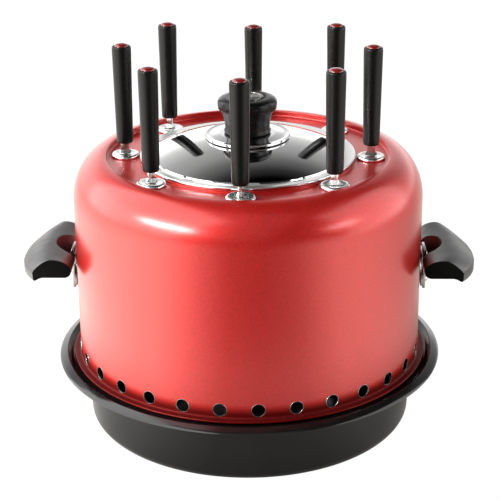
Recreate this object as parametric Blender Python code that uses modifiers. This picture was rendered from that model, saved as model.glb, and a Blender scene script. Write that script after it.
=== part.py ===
"""Stove-top skewer pot set: a vented pot standing on a drip tray, with a lifting lid and hanging skewers.

Metres, +Z up. The origin is the middle of the tray's underside, and the front of the pot faces -Y.
"""
import math

import bmesh
import bpy
from mathutils import Matrix

# Clearances
GAP = 0.0003              # between pieces that rest on or are fastened to each other
LOOSE = 0.0008            # between pieces that lift apart
WELD = 0.00001            # points nearer than this become one

# Pot body, a spun aluminium shell
BODY_RADIUS = 0.1400
BODY_HEIGHT = 0.1692      # from its foot to the crest of its top lip
BODY_SHEET = 0.0015
SHOULDER_WIDTH = 0.0258
SHOULDER_HEIGHT = 0.0345
LIP_FALL = 0.0050         # from the crest down to the ring that carries the skewers
LID_SEAT_RISE = 0.0020
MOUTH_EDGE = 0.0040       # turned-down edge round the mouth
FOOT_FLARE = 0.0053       # rolled bead that the pot stands on
FOOT_HEIGHT = 0.0034
VENT_COUNT = 30
VENT_RADIUS = 0.0052
VENT_HEIGHT = 0.0104      # vent centres above the foot
VENT_PHASE = math.radians(4.3)

# Drip tray
TRAY_SEAT_HEIGHT = 0.0547
TRAY_INSET = 0.0070       # tray wall inside the pot wall
TRAY_SHEET = 0.0015
TRAY_CORNER = 0.0080
FLANGE_RISE = 0.0030
FLANGE_SLOPE = 0.0037
RIM_WIDTH = 0.0072
RIM_DEPTH = 0.0035
FLUE_RADIUS = 0.0440
FLUE_HEIGHT = 0.0360

# Heat radiator over the flue
RADIATOR_SHEET = 0.0012
RADIATOR_WALL_HEIGHT = 0.0900
RADIATOR_CROWN = 0.0180
RADIATOR_HOLE_RADIUS = 0.0065
RADIATOR_HOLE_ROWS = (0.055, 0.080)
RADIATOR_HOLE_PAIRS = 5

# Skewers
SKEWER_COUNT = 8
SKEWER_PHASE = math.radians(-1.6)
DISC_RADIUS = 0.0115
DISC_LIP_GAP = 0.0031
DISC_SHEET = 0.0011
DISC_DOME = 0.0026
DISC_CROWN_RADIUS = 0.0075   # inside this the disc is nearly flat
DISC_CROWN_FALL = 0.0004
BLADE_WIDTH = 0.0065
BLADE_THICKNESS = 0.0018
BLADE_REACH = 0.1820      # below the disc
BLADE_TIP = 0.0160
EAR_WIDTH = 0.0092
EAR_HEIGHT = 0.0016
TANG_LENGTH = 0.0300
GRIP_LENGTH = 0.0788
GRIP_TOP_RADIUS = 0.0076
GRIP_BOTTOM_RADIUS = 0.0063
GRIP_ROUND = 0.0012
GRIP_STAND = 0.0087       # grip above its disc
DROPPED_SKEWER = 4        # this one hangs with its grip on its disc
TURNED_SKEWER = 0         # this one has turned a little in its disc
SKEWER_TURN = math.radians(-24)
PLUG_RADIUS = 0.0056
PLUG_SEAT = 0.0015
PLUG_DOME = 0.0036

# Lid
LID_DISC_GAP = 0.0008
LID_SHEET = 0.0012
LID_RIM_WIDTH = 0.0085
LID_RIM_THICKNESS = 0.0022
LID_SKIRT = 0.0060
LID_DOME = 0.0155
STUD_RADIUS = 0.0025

# Knob and the saucer under it
SAUCER_RADIUS = 0.0340
SAUCER_SHEET = 0.0008
SAUCER_EDGE = 0.0025
SAUCER_DISH = 0.0012      # fall from the knob's seat to the dished ring inside the edge
SAUCER_SEAT_WIDTH = 0.0050
KNOB_FOOT_RADIUS = 0.0188
KNOB_WAIST_RADIUS = 0.0178
KNOB_HEAD_RADIUS = 0.0237
KNOB_HEIGHT = 0.0290
KNOB_HEAD_DEPTH = 0.0120
KNOB_ROUND = 0.0050
HUB_RADIUS = 0.0122
HUB_DEPTH = 0.0022
STUD_LENGTH = 0.0240
STUD_HEAD_RADIUS = 0.0045
STUD_HEAD_HEIGHT = 0.0030
WASHER_RADIUS = 0.0080
WASHER_THICKNESS = 0.0010

# Side handles
HANDLE_RISE = 0.0747      # underside above the pot's foot
HANDLE_LENGTH = 0.0870
HANDLE_REACH = 0.0435     # beyond the pot wall
HANDLE_BOW = 0.0115
HANDLE_DROOP = 0.0026     # outer edge of the underside below its inner edge
HANDLE_CROWN = 0.0177
HANDLE_OUTER_EDGE = 0.0060
HANDLE_INNER_EDGE = 0.0072
HANDLE_RIDGE = 0.52       # share of the way in from the outer edge
LIP_SHARE = 0.24          # share of the underside taken by the turned-down outer lip
BOW_POWER = 2.5
CROWN_SHARES = (0.12, 0.26, 0.40, HANDLE_RIDGE)
BACK_SHARES = (0.68, 0.82, 0.92, 1.0)
HEEL_SHARE = 0.20         # share of the underside taken by the rounded heel, against the wall
HANDLE_UNDERCUT = 0.0060
HANDLE_WALL_GAP = 0.0006
NOTCH_DEPTH = 0.0165
NOTCH_HALF_WIDTH = 0.0200
BRACKET_SHEET = 0.0024
BRACKET_STANDOFF = 0.0018
BRACKET_WIDTH = 0.0190
BRACKET_DROP = 0.0175     # plate below the arm
BRACKET_TOP = 0.0135      # plate above the arm
ARM_LENGTH = 0.0240
RIVET_RADIUS = 0.0022
RIVET_HEAD_RADIUS = 0.0043
RIVET_HEAD_HEIGHT = 0.0026
RIVET_CROWN_RADIUS = 0.0026
RIVET_CROWN_FALL = 0.0004
RIVET_TAIL_HEIGHT = 0.0012
RIVET_RISE = 0.0053       # upper rivet above the arm
RIVET_DROP = 0.0105       # lower rivet below the arm
FOOT_PAD = 0.0050         # half height of the bracket's pad round a rivet
SCREW_RADIUS = 0.0018
SCREW_HEAD_RADIUS = 0.0036
SCREW_HEAD_HEIGHT = 0.0022
SCREW_FACE_RADIUS = 0.0025
SCREW_LENGTH = 0.0090
SCREW_INSET = 0.0060      # in from the arm's end

# Facet counts
BODY_STEPS = 2 * VENT_COUNT
WIDE_STEPS = 40
KNOB_STEPS = 24
SMALL_STEPS = 12
RIVET_STEPS = 10
HOLE_SIDES = 10
NOTCH_SIDES = 20
HANDLE_STATIONS = 9
LID_STOPS = 5

# Heights and radii that follow from the sizes above
body_base = TRAY_SEAT_HEIGHT + GAP
crest_height = body_base + BODY_HEIGHT
ring_height = crest_height - LIP_FALL
lip_radius = BODY_RADIUS - SHOULDER_WIDTH
ring_outer = lip_radius - BODY_SHEET
skewer_circle = ring_outer - DISC_RADIUS - DISC_LIP_GAP
lid_radius = skewer_circle - DISC_RADIUS - LID_DISC_GAP
lid_seat_height = ring_height + LID_SEAT_RISE
mouth_radius = lid_radius - LID_RIM_WIDTH - LOOSE
disc_base = ring_height + GAP
disc_top = disc_base + DISC_DOME
disc_hole = math.hypot(BLADE_WIDTH, BLADE_THICKNESS) / 2 + GAP
skewer_hole = DISC_RADIUS - 2 * DISC_SHEET
lid_base = lid_seat_height + GAP
lid_rim_top = lid_base + LID_RIM_THICKNESS
dome_radius = lid_radius - LID_RIM_WIDTH
dome_top = lid_rim_top + LID_DOME
saucer_top = dome_top + GAP + SAUCER_SHEET
knob_base = saucer_top + GAP
stud_head_top = dome_top - LID_SHEET - WASHER_THICKNESS - 2 * GAP
stud_hole = STUD_RADIUS + GAP
tray_wall = BODY_RADIUS - TRAY_INSET
foot_radius = BODY_RADIUS + FOOT_FLARE
flange_inner = foot_radius + 2 * LOOSE
rim_inner = flange_inner + FLANGE_SLOPE
rim_outer = rim_inner + RIM_WIDTH
rim_top = TRAY_SEAT_HEIGHT + FLANGE_RISE
collar_radius = FLUE_RADIUS + TRAY_SHEET
radiator_inner = collar_radius + LOOSE
radiator_radius = radiator_inner + RADIATOR_SHEET
radiator_base = TRAY_SHEET + GAP
handle_base = body_base + HANDLE_RISE
arm_top = handle_base - GAP
arm_base = arm_top - BRACKET_SHEET


def ellipse_arc(centre, radii, start, end, count):
    """Points on an ellipse in the radius-height plane, with both ends, angles in degrees."""
    points = []
    for step in range(count):
        angle = math.radians(start + (end - start) * step / (count - 1))
        points.append((centre[0] + radii[0] * math.cos(angle), centre[1] + radii[1] * math.sin(angle)))
    return points


def dome_height_at(radius, edge_height, rise, edge_radius):
    """Height of a shallow dome that stands rise above its edge."""
    sphere = (edge_radius ** 2 + rise ** 2) / (2 * rise)
    return edge_height + rise - sphere + math.sqrt(sphere ** 2 - radius ** 2)


def make_collection(name):
    collection = bpy.data.collections.new(name)
    bpy.context.scene.collection.children.link(collection)
    return collection


def make_material(name, colour, roughness, metallic):
    material = bpy.data.materials.new(name)
    material.use_nodes = True
    shader = material.node_tree.nodes["Principled BSDF"]
    shader.inputs["Base Color"].default_value = (*colour, 1.0)
    shader.inputs["Roughness"].default_value = roughness
    shader.inputs["Metallic"].default_value = metallic
    return material


def add_object(name, mesh, collection, material=None):
    piece = bpy.data.objects.new(name, mesh)
    collection.objects.link(piece)
    if material is not None:
        mesh.materials.append(material)
    return piece


def turned(name, profile, steps, collection, material=None, closed=True):
    """A turned piece: the profile runs down its outer side and back up its inner side or the axis."""
    mesh = bpy.data.meshes.new(name)
    edges = [(index, index + 1) for index in range(len(profile) - 1)]
    if closed:
        edges.append((len(profile) - 1, 0))
    mesh.from_pydata([(radius, 0.0, height) for radius, height in profile], edges, [])
    piece = add_object(name, mesh, collection, material)
    screw = piece.modifiers.new("turn", "SCREW")
    screw.axis = "Z"
    screw.angle = math.tau
    screw.steps = steps
    screw.render_steps = steps
    screw.use_merge_vertices = True
    screw.merge_threshold = WELD
    screw.use_smooth_shade = True
    return piece


def cylinders(name, places, collection):
    """One cutter made of closed cylinders, each given as a matrix, a radius, a length and its sides."""
    shape = bmesh.new()
    for matrix, radius, length, sides in places:
        bmesh.ops.create_cone(shape, cap_ends=True, segments=sides, radius1=radius, radius2=radius,
                              depth=length, matrix=matrix)
    return finish_cutter(name, shape, collection)


def box_cutter(name, size, centre, collection):
    shape = bmesh.new()
    bmesh.ops.create_cube(shape, size=1.0, matrix=Matrix.Translation(centre) @ Matrix.Diagonal((*size, 1.0)))
    return finish_cutter(name, shape, collection)


def finish_cutter(name, shape, collection):
    mesh = bpy.data.meshes.new(name)
    shape.to_mesh(mesh)
    shape.free()
    cutter = add_object(name, mesh, collection)
    cutter.hide_render = True
    cutter.display_type = "WIRE"
    return cutter


def cut(piece, cutter):
    boolean = piece.modifiers.new("cut " + cutter.name, "BOOLEAN")
    boolean.operation = "DIFFERENCE"
    boolean.solver = "EXACT"
    boolean.object = cutter


def flat_piece(name, outline, thickness, collection, material):
    """A plate cut to a flat outline in its own XY plane, centred on its thickness, as a welded mesh."""
    curve = bpy.data.curves.new(name + " outline", "CURVE")
    curve.dimensions = "2D"
    curve.fill_mode = "BOTH"
    curve.extrude = thickness / 2
    spline = curve.splines.new("POLY")
    spline.points.add(len(outline) - 1)
    for point, (x, y) in zip(spline.points, outline):
        point.co = (x, y, 0.0, 1.0)
    spline.use_cyclic_u = True
    drawn = bpy.data.objects.new(name + " outline", curve)
    collection.objects.link(drawn)
    evaluated = drawn.evaluated_get(bpy.context.evaluated_depsgraph_get())
    mesh = bpy.data.meshes.new_from_object(evaluated)
    mesh.name = name
    bpy.data.objects.remove(drawn)
    shape = bmesh.new()
    shape.from_mesh(mesh)
    bmesh.ops.remove_doubles(shape, verts=shape.verts, dist=WELD)
    bmesh.ops.recalc_face_normals(shape, faces=shape.faces)
    shape.to_mesh(mesh)
    shape.free()
    return add_object(name, mesh, collection, material)


def lofted(name, sections, collection, material):
    """A solid skinned over sections with the same number of points, closed by a flat face at each end."""
    shape = bmesh.new()
    rings = [[shape.verts.new(point) for point in section] for section in sections]
    count = len(rings[0])
    for near, far in zip(rings, rings[1:]):
        for index in range(count):
            after = (index + 1) % count
            shape.faces.new((near[index], near[after], far[after], far[index]))
    shape.faces.new(rings[0])
    shape.faces.new(rings[-1])
    bmesh.ops.recalc_face_normals(shape, faces=shape.faces)
    mesh = bpy.data.meshes.new(name)
    shape.to_mesh(mesh)
    shape.free()
    return add_object(name, mesh, collection, material)


def along_x(x, y, z):
    """Places a shape that is modelled along Z so that it runs along X."""
    return Matrix.Translation((x, y, z)) @ Matrix.Rotation(math.pi / 2, 4, "Y")


def skewer_angle(index):
    """Turn of a skewer round the pot, from the front towards +X."""
    return SKEWER_PHASE + index * math.tau / SKEWER_COUNT


def skewer_place(index):
    angle = skewer_angle(index)
    return skewer_circle * math.sin(angle), -skewer_circle * math.cos(angle)


def skewer_stand(index):
    return GAP if index == DROPPED_SKEWER else GRIP_STAND


def skewer_turn(index):
    """Turn of a skewer on its own axis. Its blade points at the middle unless it has turned in its disc."""
    radial = skewer_angle(index) - math.pi / 2
    return radial + SKEWER_TURN if index == TURNED_SKEWER else radial


def build_tray(parts, enamel):
    seat = TRAY_SEAT_HEIGHT
    underside = seat - TRAY_SHEET
    inner_wall = tray_wall - TRAY_SHEET
    corner = tray_wall - TRAY_CORNER
    rim_round = RIM_DEPTH / 4
    profile = [(rim_inner, rim_top), (rim_outer - rim_round, rim_top), (rim_outer, rim_top - rim_round)]
    profile += [(rim_outer, rim_top - RIM_DEPTH + rim_round), (rim_outer - rim_round, rim_top - RIM_DEPTH)]
    profile += [(rim_inner + TRAY_SHEET, rim_top - RIM_DEPTH), (flange_inner + TRAY_SHEET / 2, underside)]
    profile += [(tray_wall + TRAY_SHEET, underside), (tray_wall, underside - TRAY_SHEET)]
    profile += ellipse_arc((corner, TRAY_CORNER), (TRAY_CORNER, TRAY_CORNER), 0, -90, 4)
    profile += [(FLUE_RADIUS, 0.0), (FLUE_RADIUS, FLUE_HEIGHT), (collar_radius, FLUE_HEIGHT)]
    profile += [(collar_radius, TRAY_SHEET)]
    inside = TRAY_CORNER - TRAY_SHEET
    profile += ellipse_arc((corner, TRAY_CORNER), (inside, inside), -90, 0, 3)
    profile += [(inner_wall, seat - TRAY_SHEET), (inner_wall + TRAY_SHEET, seat), (flange_inner, seat)]
    return turned("base_tray", profile, WIDE_STEPS, parts, enamel)


def build_radiator(parts, cutters, steel):
    shoulder = radiator_base + RADIATOR_WALL_HEIGHT
    inner_crown = RADIATOR_CROWN - RADIATOR_SHEET
    profile = ellipse_arc((0.0, shoulder), (radiator_radius, RADIATOR_CROWN), 90, 0, 6)
    profile += [(radiator_radius, radiator_base), (radiator_inner, radiator_base)]
    profile += ellipse_arc((0.0, shoulder), (radiator_inner, inner_crown), 0, 90, 6)
    radiator = turned("heat_radiator", profile, WIDE_STEPS // 2, parts, steel, closed=False)
    places = []
    for row, height in enumerate(RADIATOR_HOLE_ROWS):
        for index in range(RADIATOR_HOLE_PAIRS):
            turn = math.pi * (index + row / 2) / RADIATOR_HOLE_PAIRS
            matrix = Matrix.Rotation(turn, 4, "Z") @ along_x(0.0, 0.0, height)
            places.append((matrix, RADIATOR_HOLE_RADIUS, 3 * radiator_radius, HOLE_SIDES))
    cut(radiator, cylinders("radiator holes", places, cutters))
    return radiator


def body_profile():
    """The pot's wall: over the shoulder, down to the foot, up inside, along the ring and round the mouth."""
    sheet = BODY_SHEET
    shoulder_base = crest_height - SHOULDER_HEIGHT
    centre = (lip_radius, shoulder_base)
    above_vents = body_base + 2 * VENT_HEIGHT
    profile = ellipse_arc(centre, (SHOULDER_WIDTH, SHOULDER_HEIGHT), 90, 0, 6)
    bead_round = FOOT_HEIGHT / 3
    profile += [(BODY_RADIUS, above_vents), (BODY_RADIUS, body_base + FOOT_HEIGHT + bead_round)]
    profile += [(foot_radius - bead_round, body_base + FOOT_HEIGHT)]
    profile += [(foot_radius, body_base + FOOT_HEIGHT / 2)]
    profile += [(foot_radius - bead_round, body_base), (BODY_RADIUS - sheet, body_base)]
    profile += [(BODY_RADIUS - sheet, above_vents)]
    profile += ellipse_arc(centre, (SHOULDER_WIDTH - sheet, SHOULDER_HEIGHT - sheet), 0, 90, 4)
    step = lid_radius + GAP
    profile += [(lip_radius, ring_height - sheet), (step - sheet, ring_height - sheet)]
    profile += [(step - sheet, lid_seat_height - sheet), (mouth_radius + sheet, lid_seat_height - sheet)]
    profile += [(mouth_radius + sheet, lid_seat_height - MOUTH_EDGE)]
    profile += [(mouth_radius, lid_seat_height - MOUTH_EDGE)]
    profile += [(mouth_radius, lid_seat_height), (step, lid_seat_height), (step, ring_height)]
    profile += [(ring_outer, ring_height), (ring_outer, crest_height - sheet / 2)]
    return profile


def build_body(parts, cutters, paint):
    body = turned("pot_body", body_profile(), BODY_STEPS, parts, paint)
    pitch = math.tau / VENT_COUNT
    body.rotation_euler.z = VENT_PHASE - pitch / 4
    wall_depth = 6 * BODY_SHEET
    places = []
    for index in range(VENT_COUNT):
        turn = VENT_PHASE - math.pi / 2 + index * pitch
        matrix = Matrix.Rotation(turn, 4, "Z") @ along_x(BODY_RADIUS, 0.0, body_base + VENT_HEIGHT)
        places.append((matrix, VENT_RADIUS, wall_depth, HOLE_SIDES))
    for index in range(SKEWER_COUNT):
        x, y = skewer_place(index)
        places.append((Matrix.Translation((x, y, ring_height)), skewer_hole, wall_depth, HOLE_SIDES))
    for side in (-1, 1):
        for height in rivet_heights():
            matrix = along_x(side * BODY_RADIUS, 0.0, height)
            places.append((matrix, RIVET_RADIUS + GAP, wall_depth, HOLE_SIDES))
    cut(body, cylinders("body holes", places, cutters))
    return body


def build_lid(parts, steel):
    rim = lid_radius
    chamfer = LID_RIM_THICKNESS / 4
    skirt = mouth_radius - LOOSE
    profile = []
    last = LID_STOPS - 1
    for step in range(LID_STOPS):
        radius = stud_hole + (dome_radius - stud_hole) * step / last
        profile.append((radius, lid_top_at(radius)))
    profile += [(dome_radius + chamfer, lid_rim_top), (rim - chamfer, lid_rim_top)]
    profile += [(rim, lid_rim_top - chamfer)]
    profile += [(rim, lid_base), (skirt, lid_base), (skirt, lid_base - LID_SKIRT)]
    profile += [(skirt - LID_SHEET, lid_base - LID_SKIRT)]
    inner_edge = skirt - LID_SHEET
    for step in range(LID_STOPS):
        radius = inner_edge + (stud_hole - inner_edge) * step / last
        profile.append((radius, lid_top_at(radius) - LID_SHEET))
    return turned("lid", profile, WIDE_STEPS, parts, steel)


def lid_top_at(radius):
    chamfer = LID_RIM_THICKNESS / 4
    return dome_height_at(radius, lid_rim_top + chamfer, LID_DOME - chamfer, dome_radius)


def build_saucer(parts, chrome):
    """A dished plate that follows the dome underneath and has a rounded, raised edge."""
    round_off = SAUCER_EDGE / 3
    seat = KNOB_FOOT_RADIUS + SAUCER_SEAT_WIDTH
    hollow = SAUCER_RADIUS - 2 * round_off
    edge_base = lid_top_at(hollow) + GAP
    edge_top = edge_base + SAUCER_EDGE
    profile = [(stud_hole, saucer_top), (seat, saucer_top), (hollow - round_off, saucer_top - SAUCER_DISH)]
    profile += [(SAUCER_RADIUS - round_off, edge_top), (SAUCER_RADIUS, edge_top - round_off)]
    profile += [(SAUCER_RADIUS, edge_base + round_off), (hollow, edge_base)]
    for radius in (seat, seat / 2, stud_hole):
        profile.append((radius, lid_top_at(radius) + GAP))
    return turned("lid_saucer", profile, WIDE_STEPS, parts, chrome)


def build_knob(parts, black, chrome, steel):
    base = knob_base
    top = base + KNOB_HEIGHT
    head_base = top - KNOB_HEAD_DEPTH
    bore_top = stud_head_top + STUD_LENGTH + GAP
    recess = HUB_RADIUS + GAP
    hub_floor = top - HUB_DEPTH
    centre = (KNOB_HEAD_RADIUS - KNOB_ROUND, top - KNOB_ROUND)
    profile = [(0.0, hub_floor), (recess, hub_floor), (recess, top)]
    profile += ellipse_arc(centre, (KNOB_ROUND, KNOB_ROUND), 90, 0, 4)
    profile += [(KNOB_WAIST_RADIUS + KNOB_ROUND / 2, head_base)]
    profile += [(KNOB_WAIST_RADIUS, head_base - KNOB_ROUND), (KNOB_FOOT_RADIUS, base + GRIP_ROUND)]
    profile += [(KNOB_FOOT_RADIUS - GRIP_ROUND, base), (stud_hole, base)]
    profile += [(stud_hole, bore_top), (0.0, bore_top)]
    turned("lid_knob", profile, KNOB_STEPS, parts, black, closed=False)

    hub = ellipse_arc((0.0, hub_floor + GAP), (HUB_RADIUS, HUB_DEPTH), 90, 0, 4)
    turned("knob_hub", hub + [(0.0, hub_floor + GAP)], KNOB_STEPS, parts, chrome, closed=False)

    head = stud_head_top
    stud = [(0.0, head + STUD_LENGTH), (STUD_RADIUS, head + STUD_LENGTH), (STUD_RADIUS, head)]
    underside = head - STUD_HEAD_HEIGHT
    stud += [(STUD_HEAD_RADIUS, head), (STUD_HEAD_RADIUS, underside), (0.0, underside)]
    turned("knob_screw", stud, SMALL_STEPS, parts, steel, closed=False)

    low = head + GAP
    high = low + WASHER_THICKNESS - GAP / 2
    washer = [(stud_hole, high), (WASHER_RADIUS, high), (WASHER_RADIUS, low), (stud_hole, low)]
    turned("knob_washer", washer, SMALL_STEPS, parts, steel)


def blade_outline():
    """Right-hand edge from the tip up, then its mirror: ears above and below hold the disc on the blade."""
    half = BLADE_WIDTH / 2
    ear = EAR_WIDTH / 2
    under = -DISC_SHEET - GAP
    right = [(half, BLADE_TIP - BLADE_REACH), (half, under - 2 * EAR_HEIGHT), (ear, under - EAR_HEIGHT)]
    right += [(ear, under), (half, under), (half, GAP), (ear, GAP), (ear, GAP + EAR_HEIGHT)]
    right += [(half, GAP + 2 * EAR_HEIGHT), (half, GRIP_STAND + TANG_LENGTH)]
    left = [(-x, y) for x, y in reversed(right)]
    return [(0.0, -BLADE_REACH)] + right + left


def build_skewer(index, parts, cutters, looks):
    x, y = skewer_place(index)
    stand = skewer_stand(index)
    turn = skewer_turn(index)
    name = f"skewer_{index + 1}"

    crown = DISC_CROWN_RADIUS
    fall = DISC_CROWN_FALL
    disc = [(disc_hole, 0.0), (crown, -fall), (DISC_RADIUS, DISC_SHEET - DISC_DOME)]
    disc += [(DISC_RADIUS - GAP, -DISC_DOME), (crown, -fall - DISC_SHEET), (disc_hole, -DISC_SHEET)]
    piece = turned(name + "_disc", disc, SMALL_STEPS, parts, looks["steel"])
    piece.location = (x, y, disc_top)

    piece = flat_piece(name + "_blade", blade_outline(), BLADE_THICKNESS, parts, looks["steel"])
    piece.location = (x, y, disc_top + stand - GRIP_STAND)
    piece.rotation_euler = (math.pi / 2, 0.0, turn)

    recess = PLUG_RADIUS + GAP
    seat = GRIP_LENGTH - PLUG_SEAT
    grip = [(0.0, seat), (recess, seat), (recess, GRIP_LENGTH), (GRIP_TOP_RADIUS - GRIP_ROUND, GRIP_LENGTH)]
    grip += [(GRIP_TOP_RADIUS, GRIP_LENGTH - GRIP_ROUND), (GRIP_BOTTOM_RADIUS, GRIP_ROUND)]
    grip += [(GRIP_BOTTOM_RADIUS - GRIP_ROUND, 0.0), (0.0, 0.0)]
    piece = turned(name + "_grip", grip, SMALL_STEPS, parts, looks["black"], closed=False)
    slot = (BLADE_WIDTH + 2 * GAP, BLADE_THICKNESS + 2 * GAP, 2 * (TANG_LENGTH + GAP))
    socket = box_cutter(name + " socket", slot, (0.0, 0.0, 0.0), cutters)
    for turned_piece in (piece, socket):
        turned_piece.location = (x, y, disc_top + stand)
        turned_piece.rotation_euler.z = turn
    cut(piece, socket)

    plug = ellipse_arc((0.0, PLUG_SEAT), (PLUG_RADIUS, PLUG_DOME - PLUG_SEAT), 90, 0, 4)
    plug += [(PLUG_RADIUS, GAP), (0.0, GAP)]
    piece = turned(name + "_plug", plug, SMALL_STEPS, parts, looks["red"], closed=False)
    piece.location = (x, y, disc_top + stand + seat)


def rivet_heights():
    return arm_top + RIVET_RISE, arm_base - RIVET_DROP


def handle_sections():
    """Cross-sections of a grip along Y, each running round from the outer edge over the crown."""
    inner = BODY_RADIUS + HANDLE_WALL_GAP
    sections = []
    for station in range(HANDLE_STATIONS):
        along = 2 * station / (HANDLE_STATIONS - 1) - 1
        outer = BODY_RADIUS + HANDLE_REACH - HANDLE_BOW * abs(along) ** BOW_POWER
        outline = [(LIP_SHARE, 0.0), (LIP_SHARE / 6, -HANDLE_DROOP)]
        outline += [(0.0, HANDLE_OUTER_EDGE / 4 - HANDLE_DROOP), (0.0, HANDLE_OUTER_EDGE)]
        for share in CROWN_SHARES:
            rise = (HANDLE_CROWN - HANDLE_OUTER_EDGE) * math.sin(math.pi / 2 * share / HANDLE_RIDGE)
            outline.append((share, HANDLE_OUTER_EDGE + rise))
        for share in BACK_SHARES:
            past = (share - HANDLE_RIDGE) / (1 - HANDLE_RIDGE)
            fall = (HANDLE_CROWN - HANDLE_INNER_EDGE) * (1 - math.sqrt(1 - past ** 2))
            outline.append((share, HANDLE_CROWN - fall))
        outline += ellipse_arc((1 - HEEL_SHARE, HANDLE_INNER_EDGE), (HEEL_SHARE, HANDLE_INNER_EDGE), -30, -90, 3)
        section = []
        for share, height in outline:
            pull = HANDLE_UNDERCUT * (1 - max(height, 0.0) / HANDLE_CROWN)
            y = along * (HANDLE_LENGTH / 2 - pull)
            section.append((outer + (inner - outer) * share, y, handle_base + height))
        sections.append(section)
    return sections


def bracket_outline():
    """Side view of a bracket, X away from the pot axis and Y up: a plate with two wall pads and an arm."""
    wall = BODY_RADIUS + GAP
    inner = wall + BRACKET_STANDOFF
    outer = inner + BRACKET_SHEET
    upper, lower = rivet_heights()
    reach = outer + ARM_LENGTH
    outline = [(outer, arm_base - BRACKET_DROP), (outer, arm_base), (reach, arm_base), (reach, arm_top)]
    outline += [(outer, arm_top), (outer, arm_top + BRACKET_TOP), (inner, arm_top + BRACKET_TOP)]
    for height in (upper, lower):
        outline += [(inner, height + FOOT_PAD), (wall, height + FOOT_PAD)]
        outline += [(wall, height - FOOT_PAD), (inner, height - FOOT_PAD)]
    outline.append((inner, arm_base - BRACKET_DROP))
    return outline


def build_handle(side, name, parts, cutters, looks):
    """side is +1 for the handle at +X and -1 for the one at -X, which is the first turned half round."""
    half_turn = 0.0 if side > 0 else math.pi
    inner = BODY_RADIUS + HANDLE_WALL_GAP
    plate_face = BODY_RADIUS + GAP + BRACKET_STANDOFF + BRACKET_SHEET
    screw_x = plate_face + ARM_LENGTH - SCREW_INSET

    grip = lofted(name + "_grip", handle_sections(), parts, looks["bakelite"])
    depth = 4 * HANDLE_CROWN
    notch_shape = Matrix.Translation((inner, 0.0, handle_base)) @ Matrix.Diagonal(
        (NOTCH_DEPTH, NOTCH_HALF_WIDTH, 1.0, 1.0))
    notch = cylinders(name + " notch", [(notch_shape, 1.0, depth, NOTCH_SIDES)], cutters)
    hole = Matrix.Translation((screw_x, 0.0, handle_base))
    bore = cylinders(name + " bore", [(hole, SCREW_RADIUS + GAP, 2 * SCREW_LENGTH, HOLE_SIDES)], cutters)

    bracket = flat_piece(name + "_bracket", bracket_outline(), BRACKET_WIDTH, parts, looks["steel"])
    bracket.rotation_euler = (math.pi / 2, 0.0, half_turn)
    places = [(along_x(BODY_RADIUS, 0.0, height), RIVET_RADIUS + GAP, 8 * BRACKET_SHEET, HOLE_SIDES)
              for height in rivet_heights()]
    places.append((hole, SCREW_RADIUS + GAP, 8 * BRACKET_SHEET, HOLE_SIDES))
    drilled = cylinders(name + " drilled", places, cutters)
    for piece in (grip, notch, bore, drilled):
        piece.rotation_euler.z = half_turn
    cut(grip, notch)
    cut(grip, bore)
    cut(bracket, drilled)

    tail = BODY_RADIUS - BODY_SHEET - LOOSE
    shank = plate_face + GAP - tail
    head_top = shank + RIVET_HEAD_HEIGHT
    rivet = [(0.0, head_top), (RIVET_CROWN_RADIUS, head_top - RIVET_CROWN_FALL)]
    rivet += [(RIVET_HEAD_RADIUS, shank), (RIVET_RADIUS, shank), (RIVET_RADIUS, 0.0)]
    rivet += [(RIVET_HEAD_RADIUS, 0.0), (RIVET_HEAD_RADIUS, -RIVET_TAIL_HEIGHT), (0.0, -RIVET_TAIL_HEIGHT)]
    for label, height in zip(("upper", "lower"), rivet_heights()):
        piece = turned(f"{name}_{label}_rivet", rivet, RIVET_STEPS, parts, looks["steel"], closed=False)
        piece.location = (side * tail, 0.0, height)
        piece.rotation_euler.y = side * math.pi / 2

    head = arm_base - GAP
    screw = [(0.0, SCREW_LENGTH), (SCREW_RADIUS, SCREW_LENGTH), (SCREW_RADIUS, 0.0)]
    screw += [(SCREW_HEAD_RADIUS, 0.0), (SCREW_FACE_RADIUS, -SCREW_HEAD_HEIGHT), (0.0, -SCREW_HEAD_HEIGHT)]
    piece = turned(name + "_screw", screw, RIVET_STEPS, parts, looks["steel"], closed=False)
    piece.location = (side * screw_x, 0.0, head)


def main():
    for old in list(bpy.data.objects):
        bpy.data.objects.remove(old)
    parts = make_collection("skewer_pot_set")
    cutters = make_collection("cutters")
    looks = {
        "paint": make_material("red_pearl_paint", (0.52, 0.015, 0.012), 0.25, 0.4),
        "enamel": make_material("black_enamel", (0.012, 0.010, 0.010), 0.15, 0.0),
        "steel": make_material("polished_steel", (0.78, 0.78, 0.77), 0.12, 1.0),
        "dull_steel": make_material("heat_steel", (0.45, 0.44, 0.42), 0.45, 1.0),
        "chrome": make_material("chrome", (0.85, 0.85, 0.86), 0.05, 1.0),
        "bakelite": make_material("matte_bakelite", (0.035, 0.033, 0.034), 0.55, 0.0),
        "black": make_material("satin_black_plastic", (0.012, 0.012, 0.013), 0.35, 0.0),
        "red": make_material("red_gloss_plastic", (0.42, 0.012, 0.010), 0.15, 0.0),
    }
    build_tray(parts, looks["enamel"])
    build_radiator(parts, cutters, looks["dull_steel"])
    build_body(parts, cutters, looks["paint"])
    build_lid(parts, looks["steel"])
    build_saucer(parts, looks["chrome"])
    build_knob(parts, looks["bakelite"], looks["chrome"], looks["steel"])
    for index in range(SKEWER_COUNT):
        build_skewer(index, parts, cutters, looks)
    build_handle(-1, "left_handle", parts, cutters, looks)
    build_handle(1, "right_handle", parts, cutters, looks)


main()
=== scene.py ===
# %% [markdown]
# # A stove-top skewer pot set
# A red drum pot stands on a black drip tray. Eight flat skewers hang through a ring round its domed lid, and
# each has a black grip with a dark red plug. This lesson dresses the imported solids: it rebuilds every visible
# piece with smooth turned profiles, punches the vents with Geometry Nodes and gives each finish its own
# nodes.

# %% Load the frame
import math

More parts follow.
